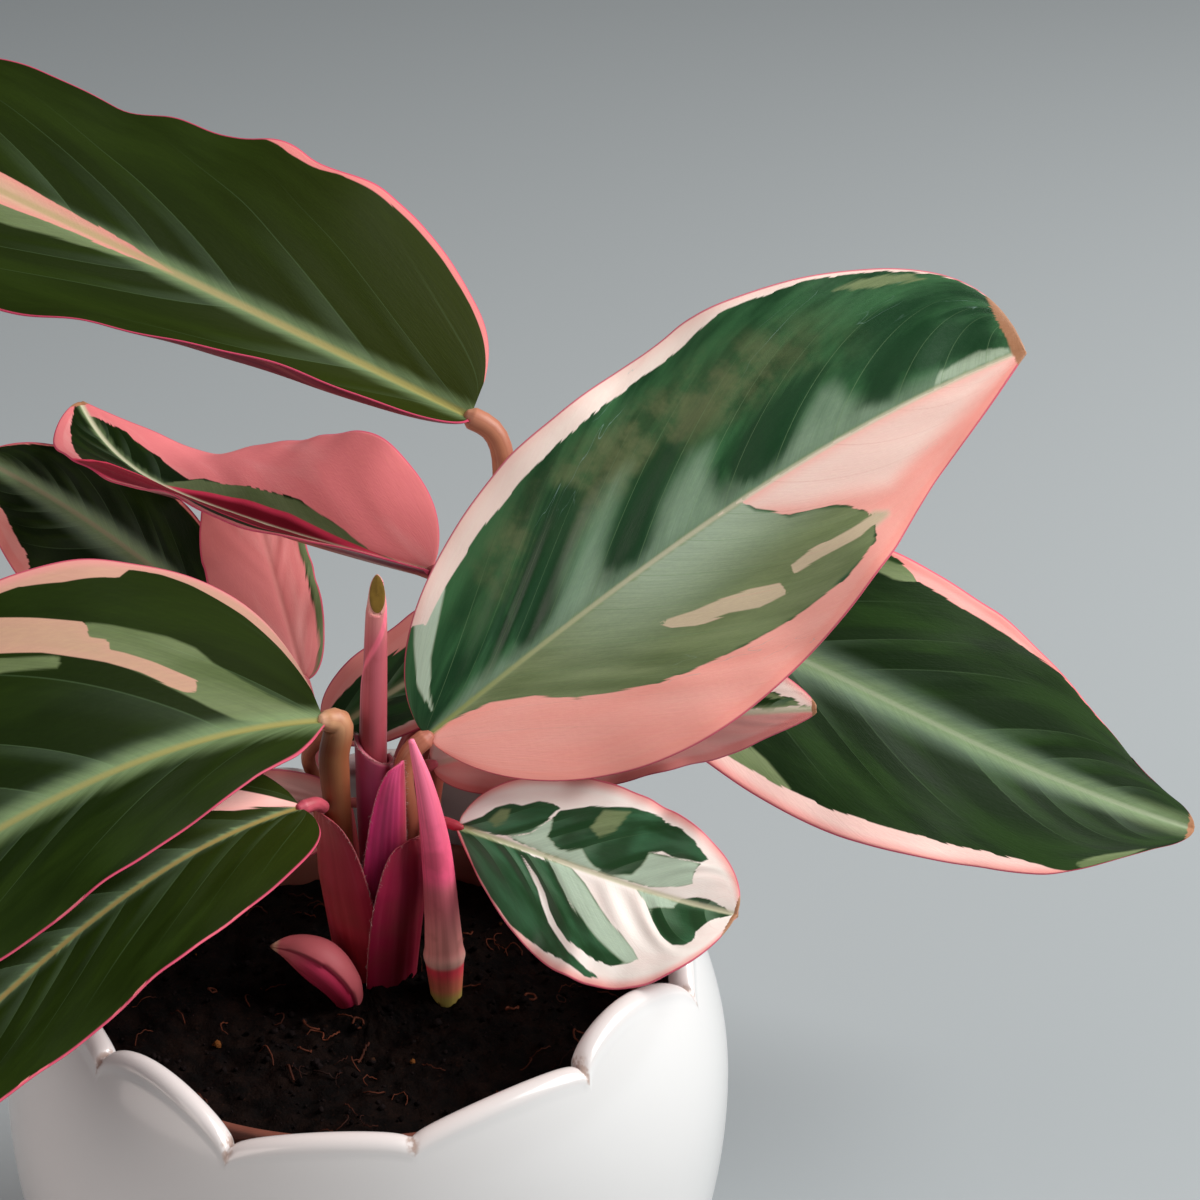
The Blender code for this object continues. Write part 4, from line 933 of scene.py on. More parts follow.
# name, places on the way to the blade, radii, and colours from foot to top, in the order of the leaves
STALKS = (
    ("stalk_main", ((4.4, 9.0, 64), (5.6, 9.0, 84), (7.1, 8.0, 104)), (1.3, 1.5, 1.7),
     ((0, BROWN), (0.55, (0.28, 0.06, 0.04)), (0.8, ORANGE), (1, (0.52, 0.20, 0.14)))),
    ("stalk_under", ((4, 11.6, 64), (4.6, 12.6, 84), (5.4, 13, 104)), (0.9, 1.0, 1.1),
     ((0, BROWN), (0.7, ORANGE), (1, ROSE))),
    ("stalk_small", ((12.4, 9.6, 64), (12.4, 9.6, 80), (12.2, 9.2, 97)), (0.9, 0.9, 0.9),
     ((0, DEEP_RED), (0.7, ROSE), (1, (0.40, 0.03, 0.05)))),
    ("stalk_right_back", ((5, 38, 64), (5, 38, 80), (8, 40, 98), (18, 52, 110)), (1.6, 1.6, 1.7),
     ((0, BROWN), (0.5, (0.28, 0.07, 0.05)), (1, ORANGE))),
    ("stalk_top_left", ((9, 31, 64), (9, 31, 80), (9.5, 33.5, 98), (16, 42, 118), (21.5, 51, 140)),
     (1.7, 1.8, 2.0), ((0, BROWN), (0.45, (0.30, 0.06, 0.04)), (0.75, ORANGE), (1, SALMON))),
    ("stalk_left_fold", ((1, 32, 64), (1, 32, 80), (3.5, 37, 100), (13, 47, 120)), (1.4, 1.4, 1.5),
     ((0, DEEP_RED), (1, (0.45, 0.10, 0.10)))),
    ("stalk_left_dark", ((-5, 39, 64), (-5, 39, 80), (-8, 44, 95), (-18, 60, 103)), (1.2, 1.2, 1.2),
     ((0, DEEP_RED), (1, (0.40, 0.10, 0.09)))),
    ("stalk_pink_back", ((-7, 33, 64), (-7, 33, 80), (-9.5, 39, 95)), (1.2, 1.2, 1.2),
     ((0, DEEP_RED), (1, (0.55, 0.14, 0.16)))),
    ("stalk_left_front", ((-2.4, 7.4, 64), (-3.6, 6.6, 90), (-4.5, 5.7, 110), (-4.7, 5.5, 118)),
     (1.3, 1.8, 2.3, 2.5, 2.1, 1.8),
     ((0, (0.16, 0.03, 0.02)), (0.55, (0.22, 0.060, 0.024)), (0.8, (0.30, 0.115, 0.045)),
      (0.9, (0.64, 0.34, 0.18)), (1, (0.80, 0.46, 0.30)))),
    ("stalk_low_front", ((-6.5, 3, 110.4),), (1.1, 1.2), ((0, ROSE), (1, ROSE))),
    ("stalk_behind", ((-4, 26, 64), (-4, 26, 80), (-8.5, 26, 100)), (1.2, 1.2, 1.2),
     ((0, BROWN), (0.8, ORANGE), (1, ORANGE))),
    ("stalk_low_back", ((-1.5, 12.6, 64), (-1.8, 13.4, 84), (-0.6, 16.8, 97)), (0.8, 0.8, 0.9),
     ((0, DEEP_RED), (1, (0.55, 0.16, 0.15)))),
)
APPROACH = 3
SHORT_APPROACH = {"stalk_left_front": 2}
STALK_GAP = 0.55
INTO_BLADE = 0.9

SPIKE_PLACES = ((1.2, 9.9, 64), (1.2, 9.8, 90), (1.5, 9.6, 118), (2.3, 9.6, 136), (2.9, 9.5, 148.2))
SPIKE_RADII = (1.4, 1.7, 2.2, 1.9, 1.4)
SHOOT_PLACES = ((12.9, 1.7, 66), (12.9, 1.7, 76), (12.8, 1.6, 82), (12.5, 1.3, 92), (11.6, 0.9, 106),
                (9.9, 0.5, 117), (8.3, 0.1, 124))
SHOOT_RADII = (2.2, 2.6, 3.1, 2.8, 2.3, 1.4, 0.5)
BUD_PLACES = ((-3.4, 0.1, 66), (-3.4, 0, 74), (-4.9, -1.3, 79.4), (-8.9, -1, 83.6), (-13, 0.2, 85.2),
              (-15.8, 0.8, 85.4))
BUD_RADII = (1.6, 2.3, 3.8, 4.3, 2.4, 0.4)

CLUMP_X, CLUMP_Y = 0.4, 8.5
CLUMP_HEIGHTS = (64, 77, 96, 122)
CLUMP_RADII = (6.2, 7, 9.4, 9.8)
SHEATH_WALL = 0.65
SHEATH_EDGE = 0.18
SHEATH_TAPER = 0.32
# name, share of the clump's radius, offset, foot, tip, and the angles of the tip and of the two edges
SHEATHS = (
    ("sheath_front_left", 1.0, -0.75, 64, 109, -146, -215, -62),
    ("sheath_front_right", 1.0, 0.3, 64, 105, -43, -100, 34),
    ("sheath_right", 0.74, 0, 72, 118, -34, -112, -30),
)
SPIKE_SHEATH_GAP = 0.35
SPIKE_SHEATH_FOOT = 78
SPIKE_SHEATH_TOP = 120


def stem_line(places, radii, rings):
    """A stem's middle line and its radius there."""
    if len(radii) == len(places):
        line = smooth_line(places, rings, radii)
        return line[:, :3], line[:, 3]
    return smooth_line(places, rings), along(radii, np.linspace(0, 1, rings))


def tube(name, line, radius, surface, sides=22, shape=None):
    """A round stem with a rounded top. shape changes the radius by length share and angle."""
    rings = len(line)
    forward = np.gradient(line, axis=0)
    forward /= np.linalg.norm(forward, axis=1, keepdims=True)
    across = np.cross(forward, (0.0, 1.0, 0.0))
    across /= np.linalg.norm(across, axis=1, keepdims=True)
    other = np.cross(forward, across)
    angles = np.arange(sides) * 2 * np.pi / sides
    share = np.linspace(0, 1, rings)
    seam = np.full((rings, sides), SEAM_AWAY)
    over = np.zeros((rings, sides))
    radius = radius[:, None] * np.ones((1, sides))
    if shape:
        factor, seam, over = shape(share[:, None], angles[None, :])
        radius = radius * factor
    vertices = line[:, None] + radius[..., None] * (
        np.cos(angles)[None, :, None] * across[:, None] + np.sin(angles)[None, :, None] * other[:, None])
    vertices = np.concatenate([vertices.reshape(-1, 3), line[:1], line[-1:] + forward[-1:] * 0.25]) * MM
    faces = ring_faces(rings, sides)
    foot, top, last = rings * sides, rings * sides + 1, (rings - 1) * sides
    faces += [(foot, (j + 1) % sides, j) for j in range(sides)]
    faces += [(top, last + j, last + (j + 1) % sides) for j in range(sides)]
    stem = mesh_object(name, vertices, faces, [surface])
    give(stem, "length_share", np.concatenate([np.repeat(share, sides), [0, 1]]))
    give(stem, "around", np.concatenate([np.tile(np.abs(np.sin(angles / 2)), rings), [0, 0]]))
    give(stem, "seam", np.concatenate([seam.ravel(), [SEAM_AWAY, SEAM_AWAY]]))
    give(stem, "over", np.concatenate([over.ravel(), [0, 0]]))
    return stem


def add_stalk(leaf, name, places, radii, stops):
    """A leaf stalk that grows into its blade."""
    foot, above = midrib(leaf)[1][:2] / MM
    forward = (above - foot) / np.linalg.norm(above - foot)
    near = foot - forward * SHORT_APPROACH.get(name, APPROACH)
    end = foot - forward * STALK_GAP
    line, radius = stem_line((*places, tuple(near), tuple(end)), radii, 54)
    further = np.linspace(0.2, 1, 6)[:, None] * (STALK_GAP + INTO_BLADE)
    line = np.concatenate([line, end + forward * further])
    radius = np.concatenate([radius, radius[-1] * np.linspace(0.96, 0.5, 6)])
    place_on_frame(tube(name + "_skin", line, radius, stem_material(name, stops)), name)


def clump_radius(z):
    return np.interp(z, CLUMP_HEIGHTS, CLUMP_RADII)


def sheet(name, grids, surfaces, extra):
    """A thin closed sheet between an outer and an inner grid of places."""
    faces = sheet_faces(*grids[0].shape[:2])
    new = mesh_object(name, np.concatenate([grid.reshape(-1, 3) for grid in grids]) * MM, faces, surfaces)
    for key, values in extra.items():
        give(new, key, np.tile(values.ravel(), 2))
    return new


SHEATH_STOPS = {
    "sheath_front_left": ((0, (0.08, 0.006, 0.006)), (0.35, (0.34, 0.020, 0.035)), (0.8, (0.46, 0.04, 0.06)),
                          (1, (0.50, 0.09, 0.09))),
    "sheath_front_right": ((0, (0.07, 0.003, 0.006)), (0.4, (0.19, 0.006, 0.022)), (0.85, (0.34, 0.02, 0.06)),
                           (1, (0.44, 0.05, 0.09))),
    "sheath_right": ((0, (0.20, 0.006, 0.03)), (0.5, (0.46, 0.018, 0.11)), (1, (0.60, 0.07, 0.20))),
    "sheath_spike": ((0, (0.20, 0.01, 0.04)), (0.6, (0.40, 0.02, 0.10)), (1, (0.52, 0.07, 0.18))),
}
SHEATH_SIDES = {
    "sheath_front_left": ((0.34, 0.090, 0.022), (0.50, 0.018, 0.06)),
    "sheath_front_right": ((0.44, 0.014, 0.07), (0.12, 0.018, 0.008)),
    "sheath_right": ((0.80, 0.03, 0.20), (0.40, 0.04, 0.06)),
    "sheath_spike": ((0.62, 0.03, 0.15), (0.46, 0.014, 0.09)),
}


def sheath_material(name):
    """A sheath's satin skin: colours from foot to tip and from side to side, with a papery edge."""
    skin = Shader(name)
    length_share, rim, around = skin.read("length_share"), skin.read("edge"), skin.read("around")
    sides = skin.lay(*SHEATH_SIDES[name], around, 0.0, 1.0)
    off_middle = skin.math("ABSOLUTE", skin.centred(around))
    colour = skin.lay(skin.ramp(length_share, SHEATH_STOPS[name]), sides, off_middle, 0.1, 0.5, 0.0, 0.75)
    grain = skin.vector(skin.times(around, 12.0), skin.times(length_share, 1.2))
    fine = skin.noise(grain, detail=3.0)
    cloud = skin.noise(skin.place(), scale=120.0, detail=3.0)
    colour = skin.lay(colour, (0.66, 0.16, 0.22), fine, 0.45, 0.75, 0.0, 0.12)
    colour = skin.lay(colour, (0.09, 0.004, 0.010), fine, 0.5, 0.3, 0.0, 0.13)
    colour = skin.lay(colour, (0.20, 0.05, 0.03), cloud, 0.45, 0.7, 0.0, 0.3)
    wobble = skin.times_plus(skin.centred(fine), 0.5, rim)
    colour = skin.lay(colour, (0.50, 0.15, 0.16), wobble, 0.02, 0.30, 0.6, 0.0)
    return skin.finish(Base_Color=colour, Roughness=0.46, Specular_IOR_Level=0.3,
                       Normal=skin.bump(fine, 0.00008, 0.4))


HAIR_RADII = (0.035, 0.026, 0.010)
EDGE_HAIR, EDGE_HAIRS = 0.5, 70
TOP_HAIR, TOP_HAIRS = 0.6, 130


def hairs(name, line, outward, colour, length, count, seed):
    """Fine pale hairs along an edge."""
    pick = random.Random(seed)
    vertices = []
    faces = []
    for number in range(count):
        place = (number + pick.random()) / count * (len(line) - 1)
        k = min(int(place), len(line) - 2)
        start = line[k] + (line[k + 1] - line[k]) * (place - k)
        way = outward[k] + np.array([pick.gauss(0, 0.5), pick.gauss(0, 0.5), pick.gauss(0.2, 0.5)])
        way = way / np.linalg.norm(way) * length * (0.5 + pick.random())
        bend = np.array([0, 0, -0.25 * length * pick.random()])
        first = len(vertices)
        for centre, radius in zip((start, start + way * 0.5, start + way + bend), HAIR_RADII):
            for angle in (0, 2.1, 4.2):
                corner = np.array([math.cos(angle), math.sin(angle), 0.4 * math.sin(angle)])
                vertices.append(centre + radius * corner)
        for ring in (0, 3):
            for j in range(3):
                a, b = first + ring + j, first + ring + (j + 1) % 3
                faces.append((a, b, b + 3, a + 3))
        faces.append((first + 6, first + 7, first + 8))
    new = mesh_object(name, np.array(vertices) * MM, faces, [colour])
    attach(new, "root")
    return new


def add_sheath(name, share, offset, foot, tip, tip_angle, left_angle, right_angle):
    """A thin sheath round the clump, whose two edges run together to a tip."""
    rows, columns = 60, 48
    t = np.linspace(0, 1, rows)
    z = foot + (tip - foot) * t
    edge = (1 - t) ** SHEATH_TAPER
    across = np.linspace(0, 1, columns)
    left = tip_angle + (left_angle - tip_angle) * edge - 3
    right = tip_angle + (right_angle - tip_angle) * edge + 3
    angle = np.radians(left[:, None] + (right - left)[:, None] * across)
    outer = (clump_radius(z) * share + offset)[:, None] + 0.0 * angle
    to_edge = np.minimum(across, 1 - across)[None, :] * np.radians(right - left)[:, None] * outer
    flare = 0.5 * np.exp(-to_edge / 0.8) * step_between(0.2, 0.9, t)[:, None]
    wrinkle = 0.04 * np.sin(across * 37)[None, :] * step_between(0.05, 0.3, t)[:, None]
    outer = outer + wrinkle + flare * 0.5
    wall = SHEATH_EDGE + (SHEATH_WALL - SHEATH_EDGE) * step_between(0.0, 1.8, to_edge)
    height = np.broadcast_to(z[:, None], angle.shape)
    grids = [np.stack([CLUMP_X + radius * np.cos(angle), CLUMP_Y + radius * np.sin(angle), height], -1)
             for radius in (outer, outer - wall)]
    new = sheet(name + "_skin", grids, [sheath_material(name)],
                {"length_share": np.broadcast_to(t[:, None], angle.shape), "edge": to_edge,
                 "around": np.broadcast_to(across[None, :], angle.shape)})
    place_on_frame(new, name)
    hair = hair_material()
    outward = np.stack([np.cos(angle), np.sin(angle), 0 * angle], -1)
    upper = slice(rows // 3, None)
    for side, column, seed in (("left", 0, 1), ("right", -1, 2)):
        hairs(f"{name}_hairs_{side}", grids[0][upper, column], outward[upper, column], hair, EDGE_HAIR,
              EDGE_HAIRS, seed + len(name))


def add_spike_sheath():
    """The sheath round the new leaf: an open tube with a slanting, papery top."""
    rows, columns = 50, 64
    u = np.linspace(0, 1, rows)
    angle = np.radians(np.linspace(-300, 40, columns))[None, :] + 0 * u[:, None]
    slant = 1 - 0.11 * ((1 + np.cos(angle)) / 2) ** 0.7
    height = (SPIKE_SHEATH_TOP - SPIKE_SHEATH_FOOT) * u[:, None] * slant + SPIKE_SHEATH_FOOT
    line = smooth_line(SPIKE_PLACES, 40, SPIKE_RADII)
    middle_x, middle_y, spike_radius = (np.interp(height, line[:, 2], line[:, k]) for k in (0, 1, 3))
    inner = spike_radius + SPIKE_SHEATH_GAP / 2
    flare = 0.15 * step_between(0.86, 1.0, u)[:, None] * (1 + 0.4 * np.sin(angle * 5))
    grids = [np.stack([middle_x + radius * np.cos(angle), middle_y + radius * np.sin(angle), height], -1)
             for radius in (inner + SHEATH_WALL + flare, inner + flare)]
    to_edge = (1 - u)[:, None] * (SPIKE_SHEATH_TOP - SPIKE_SHEATH_FOOT) + 0 * angle
    new = sheet("sheath_spike_skin", grids, [sheath_material("sheath_spike")],
                {"length_share": np.broadcast_to(u[:, None], angle.shape), "edge": to_edge * 0.4,
                 "around": np.broadcast_to(np.linspace(0, 1, columns)[None, :], angle.shape)})
    place_on_frame(new, "sheath_spike")
    outward = np.stack([np.cos(angle), np.sin(angle), 0 * angle + 1.2], -1)
    hairs("sheath_spike_hairs", grids[0][-1], outward[-1], hair_material(), TOP_HAIR,
          TOP_HAIRS, 5)


def hair_material():
    hair = Shader("sheath_hair")
    tint = hair.noise(hair.place(), scale=400.0)
    colour = hair.mix(tint, (0.48, 0.28, 0.27), (0.62, 0.46, 0.43))
    return hair.finish(Base_Color=colour, Roughness=0.5)


FINE_SIDES = 64
NEW_LEAF_STOPS = ((0, DEEP_RED), (0.5, (0.30, 0.03, 0.05)), (0.85, (0.50, 0.11, 0.14)),
                  (0.93, (0.60, 0.20, 0.20)), (1, (0.66, 0.30, 0.26)))
# the dull rose up to 0.52 is painted shadow cast by a leaf above, and the bright pink from 0.58 the lit part
SHOOT_STOPS = ((0, (0.30, 0.27, 0.06)), (0.17, (0.46, 0.36, 0.09)), (0.21, (0.72, 0.20, 0.12)),
               (0.27, (0.95, 0.08, 0.12)), (0.29, (0.95, 0.52, 0.44)), (0.33, (0.94, 0.37, 0.34)),
               (0.52, (0.62, 0.14, 0.18)), (0.58, (0.98, 0.13, 0.27)), (1, (0.96, 0.22, 0.36)))
BUD_STOPS = ((0, DEEP_RED), (0.4, (0.58, 0.020, 0.08)), (0.7, (0.70, 0.050, 0.13)),
             (0.93, (0.66, 0.14, 0.16)), (0.97, (0.70, 0.42, 0.28)), (1, (0.16, 0.06, 0.03)))
MOUTH = 0.93
MOUTH_SLANT = 6.2
THROAT_RINGS = ((0.90, 0.30), (0.80, 0.45), (0.55, 0.25), (0.25, 0.1), (0.02, 0.0))
ROLL_SHARES = (0, 0.78, 0.815, 0.91, 1.0)
ROLL_TURNS = (-1.2, 0.1, 0.5, 2.6, 4.0)
SHOOT_NODE = 0.30


def lapped(angle, seam_angle, step, sharpness):
    """A layer that laps over itself: its radius, the nearness of its seam and the share of the turn."""
    round_once = 2 * np.pi
    turn = (angle - seam_angle) % round_once
    near_seam = np.minimum(turn, round_once - turn) * sharpness
    return 1 + step / 2 - step * turn / round_once, near_seam, turn / round_once


def rolled(share, angle):
    """The new leaf is a rolled blade: one edge lies over the rest, in a slow turn up its length."""
    return lapped(angle, np.interp(share, ROLL_SHARES, ROLL_TURNS), 0.14, 1.2)


def pointed_folds(share, angle):
    """The bud's scales: one overlaps the other."""
    factor, seam, over = lapped(angle, 2.5 - 0.5 * share, 0.14, 4.0)
    return factor * (1 - 0.16 * (1 + np.cos(angle))), seam, over


def overlapping(share, angle):
    """The side shoot's sheath, whose edge runs up its side, over the node that it grows from."""
    factor, seam, over = lapped(angle, -0.5 + 1.1 * share, 0.08, 3.0)
    node = 0.10 * np.exp(-((share - SHOOT_NODE) / 0.018) ** 2)
    return factor + node, seam, over


def add_new_leaf():
    """The rolled new leaf, with an open, slanting top."""
    line, radius = stem_line(SPIKE_PLACES, SPIKE_RADII, 120)
    surface = stem_material("new_leaf", NEW_LEAF_STOPS, seam_colour=(0.92, 0.17, 0.26), streaks=0.22)
    roll = tube("new_leaf_roll", line, radius, surface, FINE_SIDES, rolled)
    vertices = roll.data.vertices
    for ring in range(len(line)):
        depth = (ring / (len(line) - 1) - MOUTH) / (1 - MOUTH)
        for j in range(FINE_SIDES if depth > 0 else 0):
            front = 0.5 + 0.5 * math.sin(j * 2 * math.pi / FINE_SIDES)
            vertices[ring * FINE_SIDES + j].co.z -= MOUTH_SLANT * MM * front ** 0.8 * depth
    vertices[len(line) * FINE_SIDES + 1].co.z -= (MOUTH_SLANT / 2 + 1.2) * MM
    place_on_frame(roll, "new_leaf")
    throat = Shader("new_leaf_throat")
    shade = throat.noise(throat.place(), scale=700.0)
    colour = throat.mix(shade, (0.10, 0.055, 0.006), (0.22, 0.13, 0.02))
    surface = throat.finish(Base_Color=colour, Roughness=0.6, Specular_IOR_Level=0.2)
    top = line[-1]
    angles = np.arange(FINE_SIDES) * 2 * np.pi / FINE_SIDES
    front = 0.5 + 0.5 * np.sin(angles)
    grids = []
    for scale, lift in THROAT_RINGS:
        reach = radius[-1] * scale
        drop = MOUTH_SLANT * (0.5 + (front ** 0.8 - 0.5) * scale)
        grids.append(np.stack([top[0] - reach * np.cos(angles), top[1] - reach * np.sin(angles),
                               top[2] - drop + lift], -1))
    places = np.concatenate(grids) * MM
    inner = mesh_object("new_leaf_throat", places, ring_faces(len(grids), FINE_SIDES, True), [surface])
    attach(inner, "root")


def add_shoots():
    """The side shoot and the bud at the foot of the clump."""
    shoot = stem_material("side_shoot", SHOOT_STOPS, streaks=0.28, seam_colour=(0.50, 0.04, 0.10))
    line, radius = stem_line(SHOOT_PLACES, SHOOT_RADII, 110)
    place_on_frame(tube("side_shoot_skin", line, radius, shoot, FINE_SIDES, overlapping), "side_shoot")
    bud = stem_material("bud", BUD_STOPS, roughness=0.6, streaks=0.5, seam_colour=(0.22, 0.01, 0.03),
                        over_colour=(0.44, 0.10, 0.11))
    line, radius = stem_line(BUD_PLACES, BUD_RADII, 90)
    place_on_frame(tube("bud_skin", line, radius, bud, FINE_SIDES, pointed_folds), "bud")


# Planter, nursery pot and soil

BELLY_RADIUS = 60
BELLY_HEIGHT = 62
BASE_RADIUS = 36
BASE_CORNER = 2.5
WALL = 5.5
LIP = 4.4
FLOOR = 6
SHOULDER = 70
# the angle of each notch, its height, and the rise of the lobe that follows it
RIM = (
    (-135, 88, 5), (-108, 82, 2.5), (-79, 84, 2.5), (-48, 87.5, 6.5), (-15, 85, 5.5),
    (25, 90, 6), (65, 92, 6), (105, 92, 5), (150, 90, 4), (190, 88, 4),
)
LOBE_ROUNDNESS = 0.5
NOTCH_WIDTH = 1.2
PLANTER_STEP = 0.75
CUP_RIM_RADIUS = 46.8
CUP_BASE_RADIUS = 28
CUP_TOP = 80
CUP_WALL = 1.2
CUP_ROLL = 2.2
CUP_FOOT = FLOOR + 0.3
SOIL_TOP = 75
SOIL_LUMPS = 0.7
SOIL_MOUND = 2
SOIL_GAP = 0.4
SOIL_SIDES = 220
SOIL_RINGS = 74


def rim_height(degrees):
    """The rim's height at an angle, and how near a notch it is, from 1 at the notch to 0."""
    height = np.zeros_like(degrees)
    notch_near = np.zeros_like(degrees)
    following = RIM[1:] + ((RIM[0][0] + 360, RIM[0][1], 0),)
    for (angle, notch, rise), (next_angle, next_notch, _) in zip(RIM, following):
        share = ((degrees - angle) % 360) / (next_angle - angle)
        inside = share < 1
        lobe = rise * np.sin(np.pi * np.clip(share, 0, 1)) ** LOBE_ROUNDNESS
        height = np.where(inside, notch + (next_notch - notch) * share + lobe, height)
        away = np.minimum(share, 1 - share) * (next_angle - angle)
        notch_near = np.where(inside, np.exp(-(away / NOTCH_WIDTH) ** 2), notch_near)
    return height, notch_near


def planter_radius(z):
    above = np.sqrt(np.maximum(BELLY_RADIUS ** 2 - (z - BELLY_HEIGHT) ** 2, 0))
    depth = BELLY_HEIGHT / np.sqrt(1 - (BASE_RADIUS / BELLY_RADIUS) ** 2)
    below = BELLY_RADIUS * np.sqrt(np.maximum(1 - ((BELLY_HEIGHT - z) / depth) ** 2, 0))
    return np.where(z >= BELLY_HEIGHT, above, below)


def turned(name, rings, degrees, surface, extra):
    """A closed turned piece from rings of radius and height."""
    count = len(degrees)
    angles = np.radians(degrees)
    vertices = []
    for radius, height in rings:
        radius = np.broadcast_to(radius, count)
        height = np.broadcast_to(height, count)
        vertices.append(np.stack([radius * np.cos(angles), radius * np.sin(angles), height], 1))
    faces = ring_faces(len(rings), count)
    faces.append(tuple(reversed(range(count))))
    faces.append(tuple(range((len(rings) - 1) * count, len(rings) * count)))
    new = mesh_object(name, np.concatenate(vertices) * MM, faces, [surface])
    for key, values in extra.items():
        give(new, key, np.concatenate([np.broadcast_to(v, count) for v in values]))
    return new


def add_planter():
    """The white glazed planter with its petal-like rim."""
    degrees = np.arange(-180, 180, PLANTER_STEP)
    rim, near = rim_height(degrees)
    rings = []
    height_share = []
    notch = []

    def ring(radius, height, share):
        rings.append((radius, height))
        height_share.append(share)
        notch.append(near)

    ring(BASE_RADIUS - BASE_CORNER - 3, 0.6, 0.0)
    ring(BASE_RADIUS - BASE_CORNER - 1.5, 0.0, 0.0)
    for turn in (0, 30, 60, 90):
        a = np.radians(turn)
        ring(BASE_RADIUS - BASE_CORNER + BASE_CORNER * np.sin(a), BASE_CORNER * (1 - np.cos(a)), 0.0)
    for z in np.linspace(BASE_CORNER + 2, SHOULDER, 30):
        ring(planter_radius(z), z, 0.0)
    lip_foot = rim - LIP / 2
    for share in np.linspace(0.08, 1, 14):
        z = SHOULDER + (lip_foot - SHOULDER) * share
        ring(planter_radius(z), z, share * 0.5)
    middle = planter_radius(lip_foot) - LIP / 2
    for turn in range(15, 181, 15):
        a = np.radians(turn)
        ring(middle + LIP / 2 * np.cos(a), lip_foot + LIP / 2 * np.sin(a), 1 - abs(turn - 90) / 200)
    for share in np.linspace(0.15, 1, 8):
        z = lip_foot + (SHOULDER - lip_foot) * share
        ring(planter_radius(z) - LIP - (WALL - LIP) * share, z, 0.3 * (1 - share))
    for z in (60, 50, 40, 30, 16):
        ring(planter_radius(z) - WALL, z, 0.0)
    ring(BASE_RADIUS - WALL, FLOOR, 0.0)
    new = turned("planter_body", rings, degrees, glaze_material(), {"lip": height_share, "notch": notch})
    return place_on_frame(new, "planter")


def glaze_material():
    """White glaze with pink painted on the lip as reflected light from the pink leaves, brown where it runs
    thin in the notches.
    """
    glaze = Shader("white_glaze")
    place = glaze.place()
    cloud = glaze.noise(place, scale=26.0, detail=2.0)
    colour = glaze.mix(cloud, (0.615, 0.61, 0.61), (0.645, 0.64, 0.64))
    lip = glaze.read("lip")
    # pink over the lip: painted reflection of the pink leaves on the glaze
    colour = glaze.lay(colour, (0.78, 0.62, 0.59), lip, 0.45, 1.0, 0.0, 0.4)
    speck = glaze.noise(place, scale=900.0)
    thin = glaze.times(glaze.read("notch"), glaze.rise(lip, 0.35, 0.8), glaze.rise(speck, 0.3, 0.6, 0.3, 1.0))
    colour = glaze.lay(colour, (0.26, 0.12, 0.06), thin, 0.3, 0.9, 0.0, 0.6)
    wavy = glaze.noise(place, scale=60.0, detail=1.0)
    return glaze.finish(Base_Color=colour, Roughness=0.22, Specular_IOR_Level=0.5, Coat_Weight=0.3,
                        Coat_Roughness=0.08, Normal=glaze.bump(wavy, 0.0003, 0.15))


def cup_radius(z, inset=0.0):
    """The nursery pot's outer radius at a height, or one further in."""
    widening = CUP_RIM_RADIUS - CUP_BASE_RADIUS
    return CUP_BASE_RADIUS + widening * (z - CUP_FOOT) / (CUP_TOP - CUP_FOOT) - inset


def add_cup():
    """The thin nursery pot, with a rolled edge at its rim."""
    degrees = np.arange(0, 360, 2.0)
    roll = CUP_TOP - CUP_ROLL
    rings = [(CUP_BASE_RADIUS - 1, CUP_FOOT), (CUP_BASE_RADIUS, CUP_FOOT + 1)]
    rings += [(cup_radius(z), z) for z in np.linspace(CUP_FOOT + 4, roll, 12)]
    rings += [(cup_radius(roll) + 0.7, roll), (cup_radius(roll) + 0.9, roll + 0.3),
              (cup_radius(CUP_TOP) + 0.9, CUP_TOP - 0.5), (cup_radius(CUP_TOP) + 0.5, CUP_TOP - 0.1),
              (cup_radius(CUP_TOP), CUP_TOP), (cup_radius(CUP_TOP, CUP_WALL * 0.6), CUP_TOP - 0.1),
              (cup_radius(CUP_TOP, CUP_WALL), CUP_TOP - 0.5)]
    rings += [(cup_radius(z, CUP_WALL), z) for z in np.linspace(CUP_TOP - 3, CUP_FOOT + CUP_WALL, 8)]
    plastic = Shader("terracotta_plastic")
    cloud = plastic.noise(plastic.place(), scale=90.0, detail=3.0)
    colour = plastic.mix(cloud, (0.13, 0.035, 0.022), (0.21, 0.065, 0.04))
    fine = plastic.noise(plastic.place(), scale=1500.0, detail=2.0)
    surface = plastic.finish(Base_Color=colour, Roughness=plastic.rise(cloud, 0.3, 0.7, 0.42, 0.6),
                             Normal=plastic.bump(fine, 0.00005, 0.4))
    return place_on_frame(turned("nursery_pot_body", rings, degrees, surface, {}), "nursery_pot")


def soil_height(x, y):
    """The soil's height at a place: lumps, and a mound round the clump."""
    lumps = np.sin(x / 4.1 + 1.3) * np.cos(y / 5.3) + 0.6 * np.sin((x + y) / 7.7)
    away = np.hypot(x - CLUMP_X, y - CLUMP_Y) / 16
    return SOIL_TOP + SOIL_LUMPS * lumps + SOIL_MOUND * np.exp(-away ** 2)


def rough_height(x, y):
    """Soil height with crumbs of peat."""
    coarse = noise.fractal(Vector((x * 0.22, y * 0.22, 3.0)), 1.0, 2.0, 3)
    fine = noise.fractal(Vector((x * 0.75, y * 0.75, 9.0)), 0.8, 2.1, 4)
    return 1.1 * coarse + 0.9 * abs(fine)


